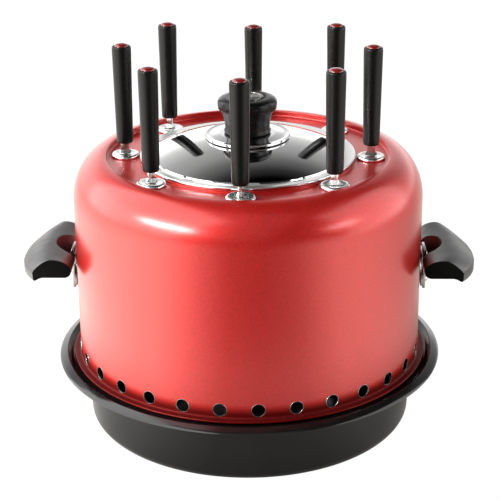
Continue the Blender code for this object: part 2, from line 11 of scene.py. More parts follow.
import bmesh
import bpy
from mathutils import Matrix, Vector


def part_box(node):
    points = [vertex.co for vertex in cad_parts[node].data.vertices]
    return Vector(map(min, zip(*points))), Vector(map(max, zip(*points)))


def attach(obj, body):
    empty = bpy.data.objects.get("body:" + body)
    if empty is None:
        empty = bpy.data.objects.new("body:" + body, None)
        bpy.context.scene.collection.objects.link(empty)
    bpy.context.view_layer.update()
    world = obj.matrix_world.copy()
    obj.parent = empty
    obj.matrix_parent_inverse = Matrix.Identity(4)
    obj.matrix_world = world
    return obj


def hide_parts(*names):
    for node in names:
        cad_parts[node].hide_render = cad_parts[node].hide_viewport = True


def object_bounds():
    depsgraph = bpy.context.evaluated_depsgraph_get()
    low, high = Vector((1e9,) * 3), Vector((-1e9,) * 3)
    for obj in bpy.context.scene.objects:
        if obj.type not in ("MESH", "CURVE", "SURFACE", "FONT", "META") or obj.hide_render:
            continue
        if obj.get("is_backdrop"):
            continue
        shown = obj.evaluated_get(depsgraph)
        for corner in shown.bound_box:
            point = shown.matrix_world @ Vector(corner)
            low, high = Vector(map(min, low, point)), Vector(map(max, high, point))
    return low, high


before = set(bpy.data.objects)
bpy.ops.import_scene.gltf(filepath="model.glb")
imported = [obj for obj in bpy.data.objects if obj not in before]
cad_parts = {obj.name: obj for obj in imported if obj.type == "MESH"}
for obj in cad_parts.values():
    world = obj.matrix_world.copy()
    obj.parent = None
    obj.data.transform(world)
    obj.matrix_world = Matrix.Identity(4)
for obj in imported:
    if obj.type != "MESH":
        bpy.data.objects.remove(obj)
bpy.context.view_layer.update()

# %% [markdown]
# Most of this object was spun on a lathe or turned in a mould, so one helper does most of the work. It takes
# a profile of radius and height, spins it round Z and closes it. A second helper eases the corners of a
# profile, because a sheet edge that catches no light looks like paper.

# %% Turned shapes
def eased(corners, arc=5):
    """Corners are (radius, height, ease). An ease turns the corner into a curve that starts that far away."""
    points = []
    for index, (radius, height, ease) in enumerate(corners):
        corner = Vector((radius, height))
        if ease == 0:
            points.append((radius, height))
            continue
        before = Vector(corners[index - 1][:2]) - corner
        after = Vector(corners[(index + 1) % len(corners)][:2]) - corner
        start = corner + before.normalized() * ease
        end = corner + after.normalized() * ease
        for step in range(arc + 1):
            t = step / arc
            spot = start * (1 - t) ** 2 + corner * (2 * t * (1 - t)) + end * t ** 2
            points.append((spot.x, spot.y))
    return points


def arc_points(centre, radii, start, end, count):
    points = []
    for step in range(count):
        angle = math.radians(start + (end - start) * step / (count - 1))
        points.append((centre[0] + radii[0] * math.cos(angle), centre[1] + radii[1] * math.sin(angle)))
    return points


def outward(mesh):
    """Merges doubles and turns every face outwards."""
    shape = bmesh.new()
    shape.from_mesh(mesh)
    bmesh.ops.remove_doubles(shape, verts=shape.verts, dist=1e-6)
    bmesh.ops.recalc_face_normals(shape, faces=shape.faces)
    shape.to_mesh(mesh)
    shape.free()


def shade(piece, angle=32):
    piece.data.shade_smooth()
    piece.data.set_sharp_from_angle(angle=math.radians(angle))
    return piece


def in_scene(name, data):
    made = bpy.data.objects.new(name, data)
    bpy.context.scene.collection.objects.link(made)
    return made


def add_piece(name, points, faces):
    mesh = bpy.data.meshes.new(name)
    mesh.from_pydata(points, [], faces)
    outward(mesh)
    return in_scene(name, mesh)


def flat_strip(name, outline, half_width):
    """Gives an outline in X and Z its width along Y."""
    count = len(outline)
    points = [(x, side, z) for side in (-half_width, half_width) for x, z in outline]
    faces = [list(range(count)), list(range(count, 2 * count))]
    for index in range(count):
        after = (index + 1) % count
        faces.append([index, after, count + after, count + index])
    return add_piece(name, points, faces)


def turned(name, profile, steps, closed=True):
    """Spins a profile round Z. A point on the axis becomes a single vertex."""
    points = []
    rings = []
    for radius, height in profile:
        count = 1 if radius < 1e-6 else steps
        rings.append([len(points) + step for step in range(count)])
        for step in range(count):
            angle = math.tau * step / steps
            points.append((radius * math.cos(angle), radius * math.sin(angle), height))
    pairs = list(zip(rings, rings[1:]))
    if closed:
        pairs.append((rings[-1], rings[0]))
    faces = []
    for near, far in pairs:
        for step in range(steps):
            after = (step + 1) % steps
            corners = [near[step % len(near)], near[after % len(near)]]
            corners += [far[after % len(far)], far[step % len(far)]]
            corners = list(dict.fromkeys(corners))
            if len(corners) > 2:
                faces.append(corners)
    return shade(add_piece(name, points, faces))


def bake(piece):
    """Replaces a piece's mesh by the result of its modifiers."""
    bpy.context.view_layer.update()
    graph = bpy.context.evaluated_depsgraph_get()
    mesh = bpy.data.meshes.new_from_object(piece.evaluated_get(graph), depsgraph=graph)
    piece.modifiers.clear()
    piece.data = mesh
    mesh.name = piece.name
    return piece


def cut_away(piece, shape, finish=None):
    """Adds a Boolean that takes a shape out of a piece. The cutter is removed once the piece is baked."""
    mesh = bpy.data.meshes.new(piece.name + "_cutter")
    shape.to_mesh(mesh)
    shape.free()
    boolean = piece.modifiers.new("cut", "BOOLEAN")
    boolean.operation = "DIFFERENCE"
    boolean.solver = "EXACT"
    if finish:
        mesh.materials.append(finish)
        boolean.material_mode = "TRANSFER"
    boolean.object = in_scene(mesh.name, mesh)
    return boolean.object


def break_edges(piece, width, segments, angle=30):
    bevel = piece.modifiers.new("broken edges", "BEVEL")
    bevel.width = width
    bevel.segments = segments
    bevel.limit_method = "ANGLE"
    bevel.angle_limit = math.radians(angle)


def settle(piece, body, slot, *replaced):
    """A finished piece rides on its body and stands for the plain solids. The slot is not used."""
    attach(piece, body)
    if replaced:
        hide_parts(*replaced)
    print(f"{piece.name}: {len(piece.data.polygons)} faces on {body}")


# %% [markdown]
# ## Finishes
# Each finish starts from a Principled shader. Noise on Object coordinates varies its colour, roughness or
# surface a little, because no sprayed, moulded or polished surface is even. What is the same all over is set
# on the shader's own socket.

# %% Helpers for finishes
def new_finish(name, roughness, metallic=0.0, **sockets):
    material = bpy.data.materials.new(name)
    material.use_nodes = True
    tree = material.node_tree
    shader = tree.nodes["Principled BSDF"]
    shader.inputs["Roughness"].default_value = roughness
    shader.inputs["Metallic"].default_value = metallic
    for socket, value in sockets.items():
        shader.inputs[socket.replace("_", " ")].default_value = value
    return material, tree, shader


def object_points(tree, stretch=(1.0, 1.0, 1.0)):
    """Object coordinates in metres, stretched so that a pattern can run along one way."""
    place = tree.nodes.new("ShaderNodeTexCoord")
    mapping = tree.nodes.new("ShaderNodeMapping")
    mapping.inputs["Scale"].default_value = stretch
    tree.links.new(place.outputs["Object"], mapping.inputs["Vector"])
    return mapping.outputs["Vector"]


def axis_rings(tree):
    """Distance from the axis and height, for the fine rings that spinning and polishing leave."""
    place = tree.nodes.new("ShaderNodeTexCoord")
    split = tree.nodes.new("ShaderNodeSeparateXYZ")
    flat = tree.nodes.new("ShaderNodeCombineXYZ")
    length = tree.nodes.new("ShaderNodeVectorMath")
    length.operation = "LENGTH"
    pair = tree.nodes.new("ShaderNodeCombineXYZ")
    tree.links.new(place.outputs["Object"], split.inputs[0])
    tree.links.new(split.outputs["X"], flat.inputs["X"])
    tree.links.new(split.outputs["Y"], flat.inputs["Y"])
    tree.links.new(flat.outputs[0], length.inputs[0])
    tree.links.new(length.outputs["Value"], pair.inputs["X"])
    tree.links.new(split.outputs["Z"], pair.inputs["Y"])
    return pair.outputs[0]


def noise(tree, vector, scale, detail=3.0):
    texture = tree.nodes.new("ShaderNodeTexNoise")
    texture.inputs["Scale"].default_value = scale
    texture.inputs["Detail"].default_value = detail
    tree.links.new(vector, texture.inputs["Vector"])
    return texture.outputs["Fac"]


def flakes(tree, vector, scale):
    """One random grey for each cell, as for metal flakes under a clear coat."""
    texture = tree.nodes.new("ShaderNodeTexVoronoi")
    texture.inputs["Scale"].default_value = scale
    tree.links.new(vector, texture.inputs["Vector"])
    grey = tree.nodes.new("ShaderNodeSeparateColor")
    tree.links.new(texture.outputs["Color"], grey.inputs[0])
    return grey.outputs[0]


def vary_colour(tree, shader, factor, dark, light):
    ramp = tree.nodes.new("ShaderNodeValToRGB")
    ramp.color_ramp.elements[0].position = 0.25
    ramp.color_ramp.elements[1].position = 0.75
    ramp.color_ramp.elements[0].color = (*dark, 1.0)
    ramp.color_ramp.elements[1].color = (*light, 1.0)
    tree.links.new(factor, ramp.inputs["Fac"])
    tree.links.new(ramp.outputs["Color"], shader.inputs["Base Color"])


def ranged(tree, source, start, end, first, last):
    """A smooth change from the first value to the last while the source goes from start to end."""
    span = tree.nodes.new("ShaderNodeMapRange")
    span.interpolation_type = "SMOOTHSTEP"
    for socket, value in (("From Min", start), ("From Max", end), ("To Min", first), ("To Max", last)):
        span.inputs[socket].default_value = value
    tree.links.new(source, span.inputs["Value"])
    return span.outputs["Result"]


def height_of(tree):
    split = tree.nodes.new("ShaderNodeSeparateXYZ")
    tree.links.new(object_points(tree), split.inputs[0])
    return split.outputs["Z"]


def paint_shade_below_height(tree, shader, start, end, least):
    """Darkens the base colour below a height, as painted shade."""
    scale = tree.nodes.new("ShaderNodeVectorMath")
    scale.operation = "SCALE"
    colour = shader.inputs["Base Color"].links[0].from_socket
    tree.links.new(colour, scale.inputs[0])
    tree.links.new(ranged(tree, height_of(tree), start, end, least, 1.0), scale.inputs["Scale"])
    tree.links.new(scale.outputs[0], shader.inputs["Base Color"])


def vary_roughness(tree, shader, factor, low, high):
    span = tree.nodes.new("ShaderNodeMapRange")
    span.inputs["From Min"].default_value = 0.3
    span.inputs["From Max"].default_value = 0.7
    span.inputs["To Min"].default_value = low
    span.inputs["To Max"].default_value = high
    tree.links.new(factor, span.inputs["Value"])
    tree.links.new(span.outputs["Result"], shader.inputs["Roughness"])


def add_bump(tree, shader, factor, strength, depth):
    bump = tree.nodes.new("ShaderNodeBump")
    bump.inputs["Strength"].default_value = strength
    bump.inputs["Distance"].default_value = depth
    tree.links.new(factor, bump.inputs["Height"])
    tree.links.new(bump.outputs["Normal"], shader.inputs["Normal"])


SKIN_DEPTH = 0.0002


def plain_finish(name, roughness, scales, dark, light, spread, bump=0.0, **sockets):
    """Noise of one scale varies the colour, another the roughness and a third, if given, the skin."""
    material, tree, shader = new_finish(name, roughness, **sockets)
    maps = [noise(tree, object_points(tree), scale) for scale in scales]
    vary_colour(tree, shader, maps[0], dark, light)
    vary_roughness(tree, shader, maps[1], *spread)
    if bump:
        add_bump(tree, shader, maps[2], bump, SKIN_DEPTH)
    return material


# %% [markdown]
# The pot is sprayed with a red that holds fine flakes, under a clear coat. The flakes give the broad pink
# sheen at the sides of the drum, and the coat gives the white streaks on its shoulder. A Voronoi pattern with
# cells under a millimetre stands for the flakes. Near the foot the coat thins out first and then the colour
# darkens, as painted shade where the tray's rim shades the wall, and the flange takes a dark dull paint as
# painted shade.

# %% Red flake paint
# Painted shade: the red's base colour darkens towards the foot, and the coat thins there too.
PAINTED_SHADE_SPAN = (0.0060, 0.0150)
COAT_FADE = (0.0100, 0.0165)
PAINTED_SHADE_LEAST = 0.25
LEAST_COAT = 0.15
red_paint, tree, shader = new_finish(
    "red_pearl_paint", 0.38, metallic=0.55, Coat_Weight=1.0, Coat_Roughness=0.24, Specular_IOR_Level=0.1,
    Specular_Tint=(1.0, 0.35, 0.25, 1.0))
spots = flakes(tree, object_points(tree), 1500.0)
vary_colour(tree, shader, spots, (0.385, 0.012, 0.010), (0.47, 0.016, 0.012))
pot_low, pot_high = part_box("pot_body")
# Painted shade: a darker base colour on the wall's lowest band.
paint_shade_below_height(tree, shader, pot_low.z + PAINTED_SHADE_SPAN[0], pot_low.z + PAINTED_SHADE_SPAN[1], PAINTED_SHADE_LEAST)
coat = ranged(tree, height_of(tree), pot_low.z + COAT_FADE[0], pot_low.z + COAT_FADE[1], LEAST_COAT, 1.0)
tree.links.new(coat, shader.inputs["Coat Weight"])
vary_roughness(tree, shader, noise(tree, object_points(tree), 60.0), 0.35, 0.41)
add_bump(tree, shader, spots, 0.03, SKIN_DEPTH)
# Painted shade: a dark, dull red for the top of the foot flange, which lies in shade beside the tray's rim.
foot_shade_paint = plain_finish("thin_foot_paint", 0.5, (300.0, 60.0), (0.075, 0.004, 0.004), (0.11, 0.006, 0.006),
                          (0.45, 0.55), metallic=0.5, Specular_IOR_Level=0.05)

# %% [markdown]
# The tray is enamelled steel: black glass fused to metal, glossy but never quite flat. A slow noise bends its
# reflections a little.

# %% Black enamel
black_enamel, tree, shader = new_finish("black_enamel", 0.14)
slow = noise(tree, object_points(tree), 35.0)
fine = noise(tree, object_points(tree), 240.0)
vary_colour(tree, shader, fine, (0.0035, 0.0030, 0.0030), (0.0065, 0.0055, 0.0055))
vary_roughness(tree, shader, slow, 0.10, 0.18)
add_bump(tree, shader, slow, 0.05, 0.001)

# %% [markdown]
# The lid and the skewers' discs are polished steel. Polishing on a lathe leaves very fine rings, so the noise
# reads the distance from the axis and not the point itself. The lid's rim and the discs are left satin. The
# blades are finished along their length, so their noise is stretched along Z.

# %% Polished steel
lid_steel, tree, shader = new_finish("polished_lid_steel", 0.06, metallic=1.0)
rings = noise(tree, axis_rings(tree), 900.0, 4.0)
vary_colour(tree, shader, rings, (0.66, 0.66, 0.66), (0.72, 0.72, 0.71))
vary_roughness(tree, shader, rings, 0.035, 0.075)
add_bump(tree, shader, rings, 0.02, SKIN_DEPTH)

rim_steel, tree, shader = new_finish("satin_rim_steel", 0.32, metallic=1.0)
rings = noise(tree, axis_rings(tree), 700.0, 4.0)
vary_colour(tree, shader, rings, (0.80, 0.80, 0.79), (0.88, 0.88, 0.87))
vary_roughness(tree, shader, rings, 0.27, 0.36)

disc_steel, tree, shader = new_finish("polished_disc_steel", 0.22, metallic=1.0)
blotch = noise(tree, object_points(tree), 420.0)
vary_colour(tree, shader, blotch, (0.74, 0.74, 0.73), (0.86, 0.86, 0.85))
vary_roughness(tree, shader, blotch, 0.18, 0.26)
add_bump(tree, shader, blotch, 0.05, 0.0003)

blade_steel, tree, shader = new_finish("ground_blade_steel", 0.2, metallic=1.0)
grain = noise(tree, object_points(tree, (1.0, 1.0, 0.02)), 1800.0, 4.0)
vary_colour(tree, shader, grain, (0.42, 0.42, 0.41), (0.56, 0.56, 0.55))
vary_roughness(tree, shader, grain, 0.14, 0.26)
add_bump(tree, shader, grain, 0.08, SKIN_DEPTH)

# %% [markdown]
# The saucer under the knob is bright chrome plate. The hub in the knob and the handles' brackets are a duller
# steel, the vents' punched edges show the pot's bare aluminium, and the heat radiator is plain sheet that heat
# has tinted.

# %% Chrome, strap steel, bare aluminium and heat-tinted steel
chrome, tree, shader = new_finish("bright_chrome", 0.05, metallic=1.0)
blotch = noise(tree, object_points(tree), 260.0)
vary_colour(tree, shader, blotch, (0.62, 0.62, 0.63), (0.70, 0.70, 0.71))
vary_roughness(tree, shader, blotch, 0.03, 0.08)

strap_steel, tree, shader = new_finish("bright_strap_steel", 0.16, metallic=1.0)
grain = noise(tree, object_points(tree, (1.0, 0.05, 1.0)), 1200.0)
vary_colour(tree, shader, grain, (0.26, 0.25, 0.24), (0.36, 0.35, 0.34))
vary_roughness(tree, shader, grain, 0.12, 0.22)

bare_metal, tree, shader = new_finish("bare_aluminium", 0.3, metallic=1.0)
grain = noise(tree, object_points(tree), 1600.0)
vary_colour(tree, shader, grain, (0.26, 0.24, 0.23), (0.38, 0.36, 0.35))
vary_roughness(tree, shader, grain, 0.24, 0.38)

heat_steel, tree, shader = new_finish("heat_tinted_steel", 0.42, metallic=1.0)
tint = noise(tree, object_points(tree, (1.0, 1.0, 2.5)), 26.0)
vary_colour(tree, shader, tint, (0.30, 0.25, 0.24), (0.48, 0.47, 0.46))
vary_roughness(tree, shader, noise(tree, object_points(tree), 300.0), 0.34, 0.5)
add_bump(tree, shader, noise(tree, object_points(tree), 500.0), 0.06, 0.0003)

# %% [markdown]
# The side handles are moulded in a heat-proof black plastic with a dull, faintly grained skin, and the lid
# knob in the same plastic with a finer one. The skewer grips are a smooth satin black, and their end plugs are
# a clear, dark red.

# %% Moulded plastics
bakelite = plain_finish("matte_bakelite", 0.36, (300.0, 90.0, 1400.0), (0.0080, 0.0075, 0.0078),
                        (0.0140, 0.0130, 0.0135), (0.31, 0.42), 0.18, Specular_IOR_Level=0.7)
# Painted shade: a near-black, dull copy of the handle plastic for the grips' end faces.
end_shade_bakelite = plain_finish("unglazed_bakelite", 0.6, (300.0, 200.0, 1400.0), (0.0008, 0.0008, 0.0008),
                             (0.0016, 0.0015, 0.0016), (0.52, 0.68), 0.1, Specular_IOR_Level=0.05)
knob_black = plain_finish("satin_knob_plastic", 0.26, (300.0, 120.0, 1400.0), (0.0014, 0.0013, 0.0014),
                          (0.0028, 0.0026, 0.0027), (0.22, 0.31), 0.06, Specular_IOR_Level=0.2)
grip_black = plain_finish("satin_black_plastic", 0.30, (320.0, 150.0, 1100.0), (0.0012, 0.0011, 0.0012),
                          (0.0026, 0.0024, 0.0026), (0.25, 0.37), 0.12, Specular_IOR_Level=0.18)
plug_red = plain_finish("red_gloss_plastic", 0.14, (500.0, 400.0), (0.10, 0.005, 0.004), (0.16, 0.008, 0.007),
                        (0.10, 0.19), Coat_Weight=0.4, Coat_Roughness=0.05)
print("finishes:", len(bpy.data.materials))

# %% [markdown]
# ## Drip tray
# The tray is a deep pressed dish. Its rolled rim slopes down to a flat shelf that the pot's foot stands on,
# and a collar in its middle lets the hob's heat up. The profile runs over the rim, down the outside, up the
# collar and back along the floor inside.

# %% Drip tray
FIT = 0.0003
SHEET = 0.0015
tray_low, tray_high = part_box("base_tray")
BODY_RADIUS = 0.1400
FOOT_RADIUS = 0.1453
SHELF_HEIGHT = pot_low.z - FIT
rim_outer = tray_high.x
rim_inner = rim_outer - 0.0072
rim_top = tray_high.z
shelf_outer = FOOT_RADIUS + 0.0016
tray_wall = BODY_RADIUS - 0.0070
TRAY_CORNER = 0.0080
FLUE_RADIUS = 0.0440
FLUE_HEIGHT = 0.0360
corner = tray_wall - TRAY_CORNER
inside = TRAY_CORNER - SHEET
profile = eased([
    (shelf_outer, SHELF_HEIGHT, 0.0009), (rim_inner, rim_top - 0.0006, 0.0003),
    (rim_inner + 0.0007, rim_top, 0.0004),
    (rim_outer - 0.0010, rim_top - 0.0024, 0.0012), (rim_outer, rim_top - 0.0036, 0.0007),
    (rim_outer - 0.0010, rim_top - 0.0040, 0.0005), (rim_inner + SHEET, rim_top - 0.0040, 0.0006),
    (shelf_outer + SHEET / 2, SHELF_HEIGHT - SHEET, 0.0006), (tray_wall, SHELF_HEIGHT - SHEET, 0.0018)])
profile += arc_points((corner, TRAY_CORNER), (TRAY_CORNER, TRAY_CORNER), 0, -90, 12)
profile += eased([(corner, 0.0, 0), (FLUE_RADIUS, 0.0, 0.0010), (FLUE_RADIUS, FLUE_HEIGHT, 0.0005),
                  (FLUE_RADIUS + SHEET, FLUE_HEIGHT, 0.0005), (FLUE_RADIUS + SHEET, SHEET, 0.0010),
                  (corner, SHEET, 0)])[1:-1]
profile += arc_points((corner, TRAY_CORNER), (inside, inside), -90, 0, 12)
profile += eased([(corner, SHEET, 0), (tray_wall - SHEET, SHELF_HEIGHT, 0.0018),
                  (shelf_outer, SHELF_HEIGHT, 0)])[1:-1]
drip_tray = turned("drip_tray", profile, 192)
drip_tray.data.materials.append(black_enamel)
settle(drip_tray, "base_tray", "black_enamel", "base_tray")

# %% [markdown]
# ## Punched walls
# The pot's foot has a ring of round vents and the heat radiator has two. A Geometry Nodes tree suits this: it
# sets cylinders round a circle, points each one outwards and cuts them from the turned wall. The cylinders
# carry their own material, so the cut edges come out as bare metal.

# %% A tree that punches a ring of holes
def new_tree(name, sizes):
    """An empty tree with a geometry input, the named inputs and a geometry output."""
    made = bpy.data.node_groups.new(name, "GeometryNodeTree")
    made.interface.new_socket("Geometry", in_out="INPUT", socket_type="NodeSocketGeometry")
    made.interface.new_socket("Geometry", in_out="OUTPUT", socket_type="NodeSocketGeometry")
    for label, kind in sizes:
        made.interface.new_socket(label, in_out="INPUT", socket_type="NodeSocket" + kind)
    return made, made.nodes.new("NodeGroupInput"), made.nodes.new("NodeGroupOutput")


def add_node(made, kind, links=(), **settings):
    """links pairs an input of the new node with an output socket or a plain value."""
    node = made.nodes.new(kind)
    for key, value in settings.items():
        setattr(node, key, value)
    for socket, source in links:
        if isinstance(source, bpy.types.NodeSocket):
            made.links.new(source, node.inputs[socket])
        else:
            node.inputs[socket].default_value = source
    return node


def run_tree(piece, made, values):
    """Gives a piece the tree, sets the inputs by their identifiers and bakes the result."""
    modifier = piece.modifiers.new(made.name, "NODES")
    modifier.node_group = made
    for item in made.interface.items_tree:
        if item.in_out == "INPUT" and item.name in values:
            modifier[item.identifier] = values[item.name]
    return bake(piece)


def ring_of_points(made, given):
    """Points round a circle, turned by the phase and lifted, with the rotation that faces each outwards."""
    circle = add_node(made, "GeometryNodeMeshCircle", [
        ("Vertices", given["Count"]), ("Radius", given["Wall radius"])])
    lift = add_node(made, "ShaderNodeCombineXYZ", [("Z", given["Height"])])
    turn = add_node(made, "ShaderNodeCombineXYZ", [("Z", given["Phase"])])
    ring = add_node(made, "GeometryNodeTransform", [
        ("Geometry", circle.outputs[0]), ("Translation", lift.outputs[0]), ("Rotation", turn.outputs[0])])
    place = add_node(made, "GeometryNodeInputPosition")
    split = add_node(made, "ShaderNodeSeparateXYZ", [(0, place.outputs[0])])
    radial = add_node(made, "ShaderNodeCombineXYZ", [("X", split.outputs["X"]), ("Y", split.outputs["Y"])])
    facing = add_node(made, "FunctionNodeAlignRotationToVector", [("Vector", radial.outputs[0])], axis="Z")
    return ring.outputs[0], facing.outputs[0]


def end_tree(made, geometry, finish, result):
    """Realizes the instances and gives them their finish."""
    whole = add_node(made, "GeometryNodeRealizeInstances", [("Geometry", geometry)])
    last = add_node(made, "GeometryNodeSetMaterial", [("Geometry", whole.outputs[0]), ("Material", finish)])
    made.links.new(last.outputs[0], result.inputs[0])


RING_INPUTS = [("Count", "Int"), ("Wall radius", "Float"), ("Height", "Float"), ("Phase", "Float")]
punch, given, result = new_tree("punch_ring_of_holes", RING_INPUTS + [
    ("Hole radius", "Float"), ("Depth", "Float"), ("Wall finish", "Material"), ("Edge finish", "Material")])
given = given.outputs
spots, facing = ring_of_points(punch, given)
drill = add_node(punch, "GeometryNodeMeshCylinder", [
    ("Vertices", 32), ("Radius", given["Hole radius"]), ("Depth", given["Depth"])])
edge = add_node(punch, "GeometryNodeSetMaterial", [
    ("Geometry", drill.outputs[0]), ("Material", given["Edge finish"])])
drills = add_node(punch, "GeometryNodeInstanceOnPoints", [
    ("Points", spots), ("Instance", edge.outputs[0]), ("Rotation", facing)])
cutters = add_node(punch, "GeometryNodeRealizeInstances", [("Geometry", drills.outputs[0])])
wall = add_node(punch, "GeometryNodeSetMaterial", [
    ("Geometry", given["Geometry"]), ("Material", given["Wall finish"])])
cut = add_node(punch, "GeometryNodeMeshBoolean", [
    ("Mesh 1", wall.outputs[0]), ("Mesh 2", cutters.outputs[0])], operation="DIFFERENCE", solver="EXACT")
whole = add_node(punch, "GeometryNodeRealizeInstances", [("Geometry", cut.outputs[0])])
chosen = add_node(punch, "GeometryNodeMaterialSelection", [("Material", given["Edge finish"])])
last = add_node(punch, "GeometryNodeSetMaterial", [
    ("Geometry", whole.outputs[0]), ("Selection", chosen.outputs[0]), ("Material", given["Edge finish"])])
punch.links.new(last.outputs[0], result.inputs[0])
print("tree:", punch.name, len(punch.nodes), "nodes")

# %% [markdown]
# The heat radiator is a tall cap that stands over the tray's collar. It is hidden while the pot is in place,
# and shows when the pot is lifted off.

# %% Heat radiator
radiator_low, radiator_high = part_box("heat_radiator")
RADIATOR_RADIUS = radiator_high.x
RADIATOR_SHEET = 0.0012
RADIATOR_CROWN = 0.0180
crown_base = radiator_high.z - RADIATOR_CROWN
profile = arc_points((0.0, crown_base), (RADIATOR_RADIUS, RADIATOR_CROWN), 90, 0, 16)
profile += [(RADIATOR_RADIUS, height) for height in (0.088, 0.072, 0.063, 0.047, 0.03)]
profile += eased([(RADIATOR_RADIUS, 0.03, 0), (RADIATOR_RADIUS, radiator_low.z, 0.0005),
                  (RADIATOR_RADIUS - RADIATOR_SHEET, radiator_low.z, 0.0005),
                  (RADIATOR_RADIUS - RADIATOR_SHEET, 0.03, 0)], 3)[1:]
profile += [(RADIATOR_RADIUS - RADIATOR_SHEET, height) for height in (0.047, 0.063, 0.072, 0.088)]
inner = (RADIATOR_RADIUS - RADIATOR_SHEET, RADIATOR_CROWN - RADIATOR_SHEET)
profile += arc_points((0.0, crown_base), inner, 0, 90, 16)
heat_radiator = turned("flame_spreader", profile, 96, closed=False)
RADIATOR_ROWS = ((0.055, 0.0), (0.080, math.pi / 10))
for height, phase in RADIATOR_ROWS:
    run_tree(heat_radiator, punch, {
        "Count": 10, "Wall radius": RADIATOR_RADIUS, "Height": height, "Phase": phase, "Hole radius": 0.0065,
        "Depth": 0.012, "Wall finish": heat_steel, "Edge finish": bare_metal})
shade(heat_radiator)
settle(heat_radiator, "heat_radiator", "heat_steel", "heat_radiator")

# %% [markdown]
# ## Pot
# The pot is one spun shell. Its shoulder is a quarter of an ellipse that ends in a raised lip. Inside the lip
# lies the ring that carries the skewers, then a low step for the lid and a turned-down edge round the mouth.
# The foot turns out into a thin flange. Extra rings of points above and below the vents keep their faces
# small, so that the cut leaves no marks on the smooth wall.

# %% Pot shell
SHOULDER_WIDTH = 0.0258
SHOULDER_HEIGHT = 0.0345
VENT_COUNT = 30
VENT_RADIUS = 0.0052
VENT_PHASE = math.radians(4.3)
lid_low, lid_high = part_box("lid")
disc_low, disc_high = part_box("skewer_1_disc")
LID_RADIUS = lid_high.x
base = pot_low.z
crest = pot_high.z
ring_height = disc_low.z - FIT
seat_height = ring_height + 0.0020
lip_radius = BODY_RADIUS - SHOULDER_WIDTH
ring_outer = lip_radius - SHEET
mouth = LID_RADIUS - 0.0093
step = LID_RADIUS + FIT
vent_height = base + 0.0104
shoulder_base = crest - SHOULDER_HEIGHT
centre = (lip_radius, shoulder_base)
profile = arc_points(centre, (SHOULDER_WIDTH, SHOULDER_HEIGHT), 88, 0, 30)
for height in (0.170, 0.140, 0.110, 0.090, base + 0.0200, base + 0.0162, base + 0.0140, vent_height,
               base + 0.0068, base + 0.0052):
    profile.append((BODY_RADIUS, height))
profile += eased([(BODY_RADIUS, base + 0.0052, 0), (BODY_RADIUS + 0.0002, base + 0.0034, 0.0016),
                  (FOOT_RADIUS, base + 0.0034, 0.0009), (FOOT_RADIUS, base + 0.0020, 0.0005),
                  (BODY_RADIUS + SHEET, base + 0.0019, 0.0003), (BODY_RADIUS + SHEET, base, 0.0004),
                  (BODY_RADIUS - SHEET, base, 0.0005), (BODY_RADIUS - SHEET, base + 0.005, 0)])[1:]
for height in (vent_height, base + 0.0162, base + 0.0200, 0.110, 0.150):
    profile.append((BODY_RADIUS - SHEET, height))
profile += arc_points(centre, (SHOULDER_WIDTH - SHEET, SHOULDER_HEIGHT - SHEET), 0, 90, 16)
profile += eased([
    (lip_radius, crest - SHEET, 0), (lip_radius, ring_height - SHEET, 0.0008),
    (step - SHEET, ring_height - SHEET, 0.0004), (step - SHEET, seat_height - SHEET, 0.0004),
    (mouth + SHEET, seat_height - SHEET, 0.0006), (mouth + SHEET, seat_height - 0.0040, 0.0005),
    (mouth, seat_height - 0.0040, 0.0005), (mouth, seat_height, 0.0014), (step, seat_height, 0.0004),
    (step, ring_height, 0.0004), (ring_outer, ring_height, 0.0014), (ring_outer, crest, 0.0009),
    (lip_radius, crest, 0)])[1:-1]
pot_shell = turned("pot_shell", profile, 240)
run_tree(pot_shell, punch, {
    "Count": VENT_COUNT, "Wall radius": BODY_RADIUS, "Height": vent_height, "Phase": VENT_PHASE - math.pi / 2,
    "Hole radius": VENT_RADIUS, "Depth": 0.009, "Wall finish": red_paint, "Edge finish": bare_metal})

# %% [markdown]
# The same tree can't cut the skewers' holes, because they point upwards, so those are drilled with a plain
# Boolean modifier and one cutter for all eight.

# %% Skewer holes in the ring
SKEWERS = range(1, 9)
HOLE_RADIUS = 0.0093
skewer_axis = {}
for number in SKEWERS:
    low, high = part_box(f"skewer_{number}_disc")
    skewer_axis[number] = (low + high) / 2
shape = bmesh.new()
for number in SKEWERS:
    spot = skewer_axis[number]
    bmesh.ops.create_cone(
        shape, cap_ends=True, segments=40, radius1=HOLE_RADIUS, radius2=HOLE_RADIUS, depth=0.012,
        matrix=Matrix.Translation((spot.x, spot.y, ring_height)))
cutter = cut_away(pot_shell, shape, bare_metal)
bake(pot_shell)
bpy.data.objects.remove(cutter)
# Painted shade: the flange's top, short of its rounded edge, takes the dark foot paint.
pot_shell.data.materials.append(foot_shade_paint)
foot_shade_slot = len(pot_shell.data.materials) - 1
SHADED_FOOT_TOP = base + 0.0055
SHADED_FOOT_EDGE = FOOT_RADIUS - 0.0009
for face in pot_shell.data.polygons:
    in_foot_shade = face.center.z < SHADED_FOOT_TOP and face.normal.z > 0.02
    if in_foot_shade and BODY_RADIUS < math.hypot(face.center.x, face.center.y) < SHADED_FOOT_EDGE:
        face.material_index = foot_shade_slot
shade(pot_shell)
settle(pot_shell, "pot", "red_pearl_paint", "pot_body")

# %% [markdown]
# Punching leaves a thin bright ring round each vent, where the tool broke the paint. A second tree sets a
# fine hoop round each hole, with the same ring of points as before.

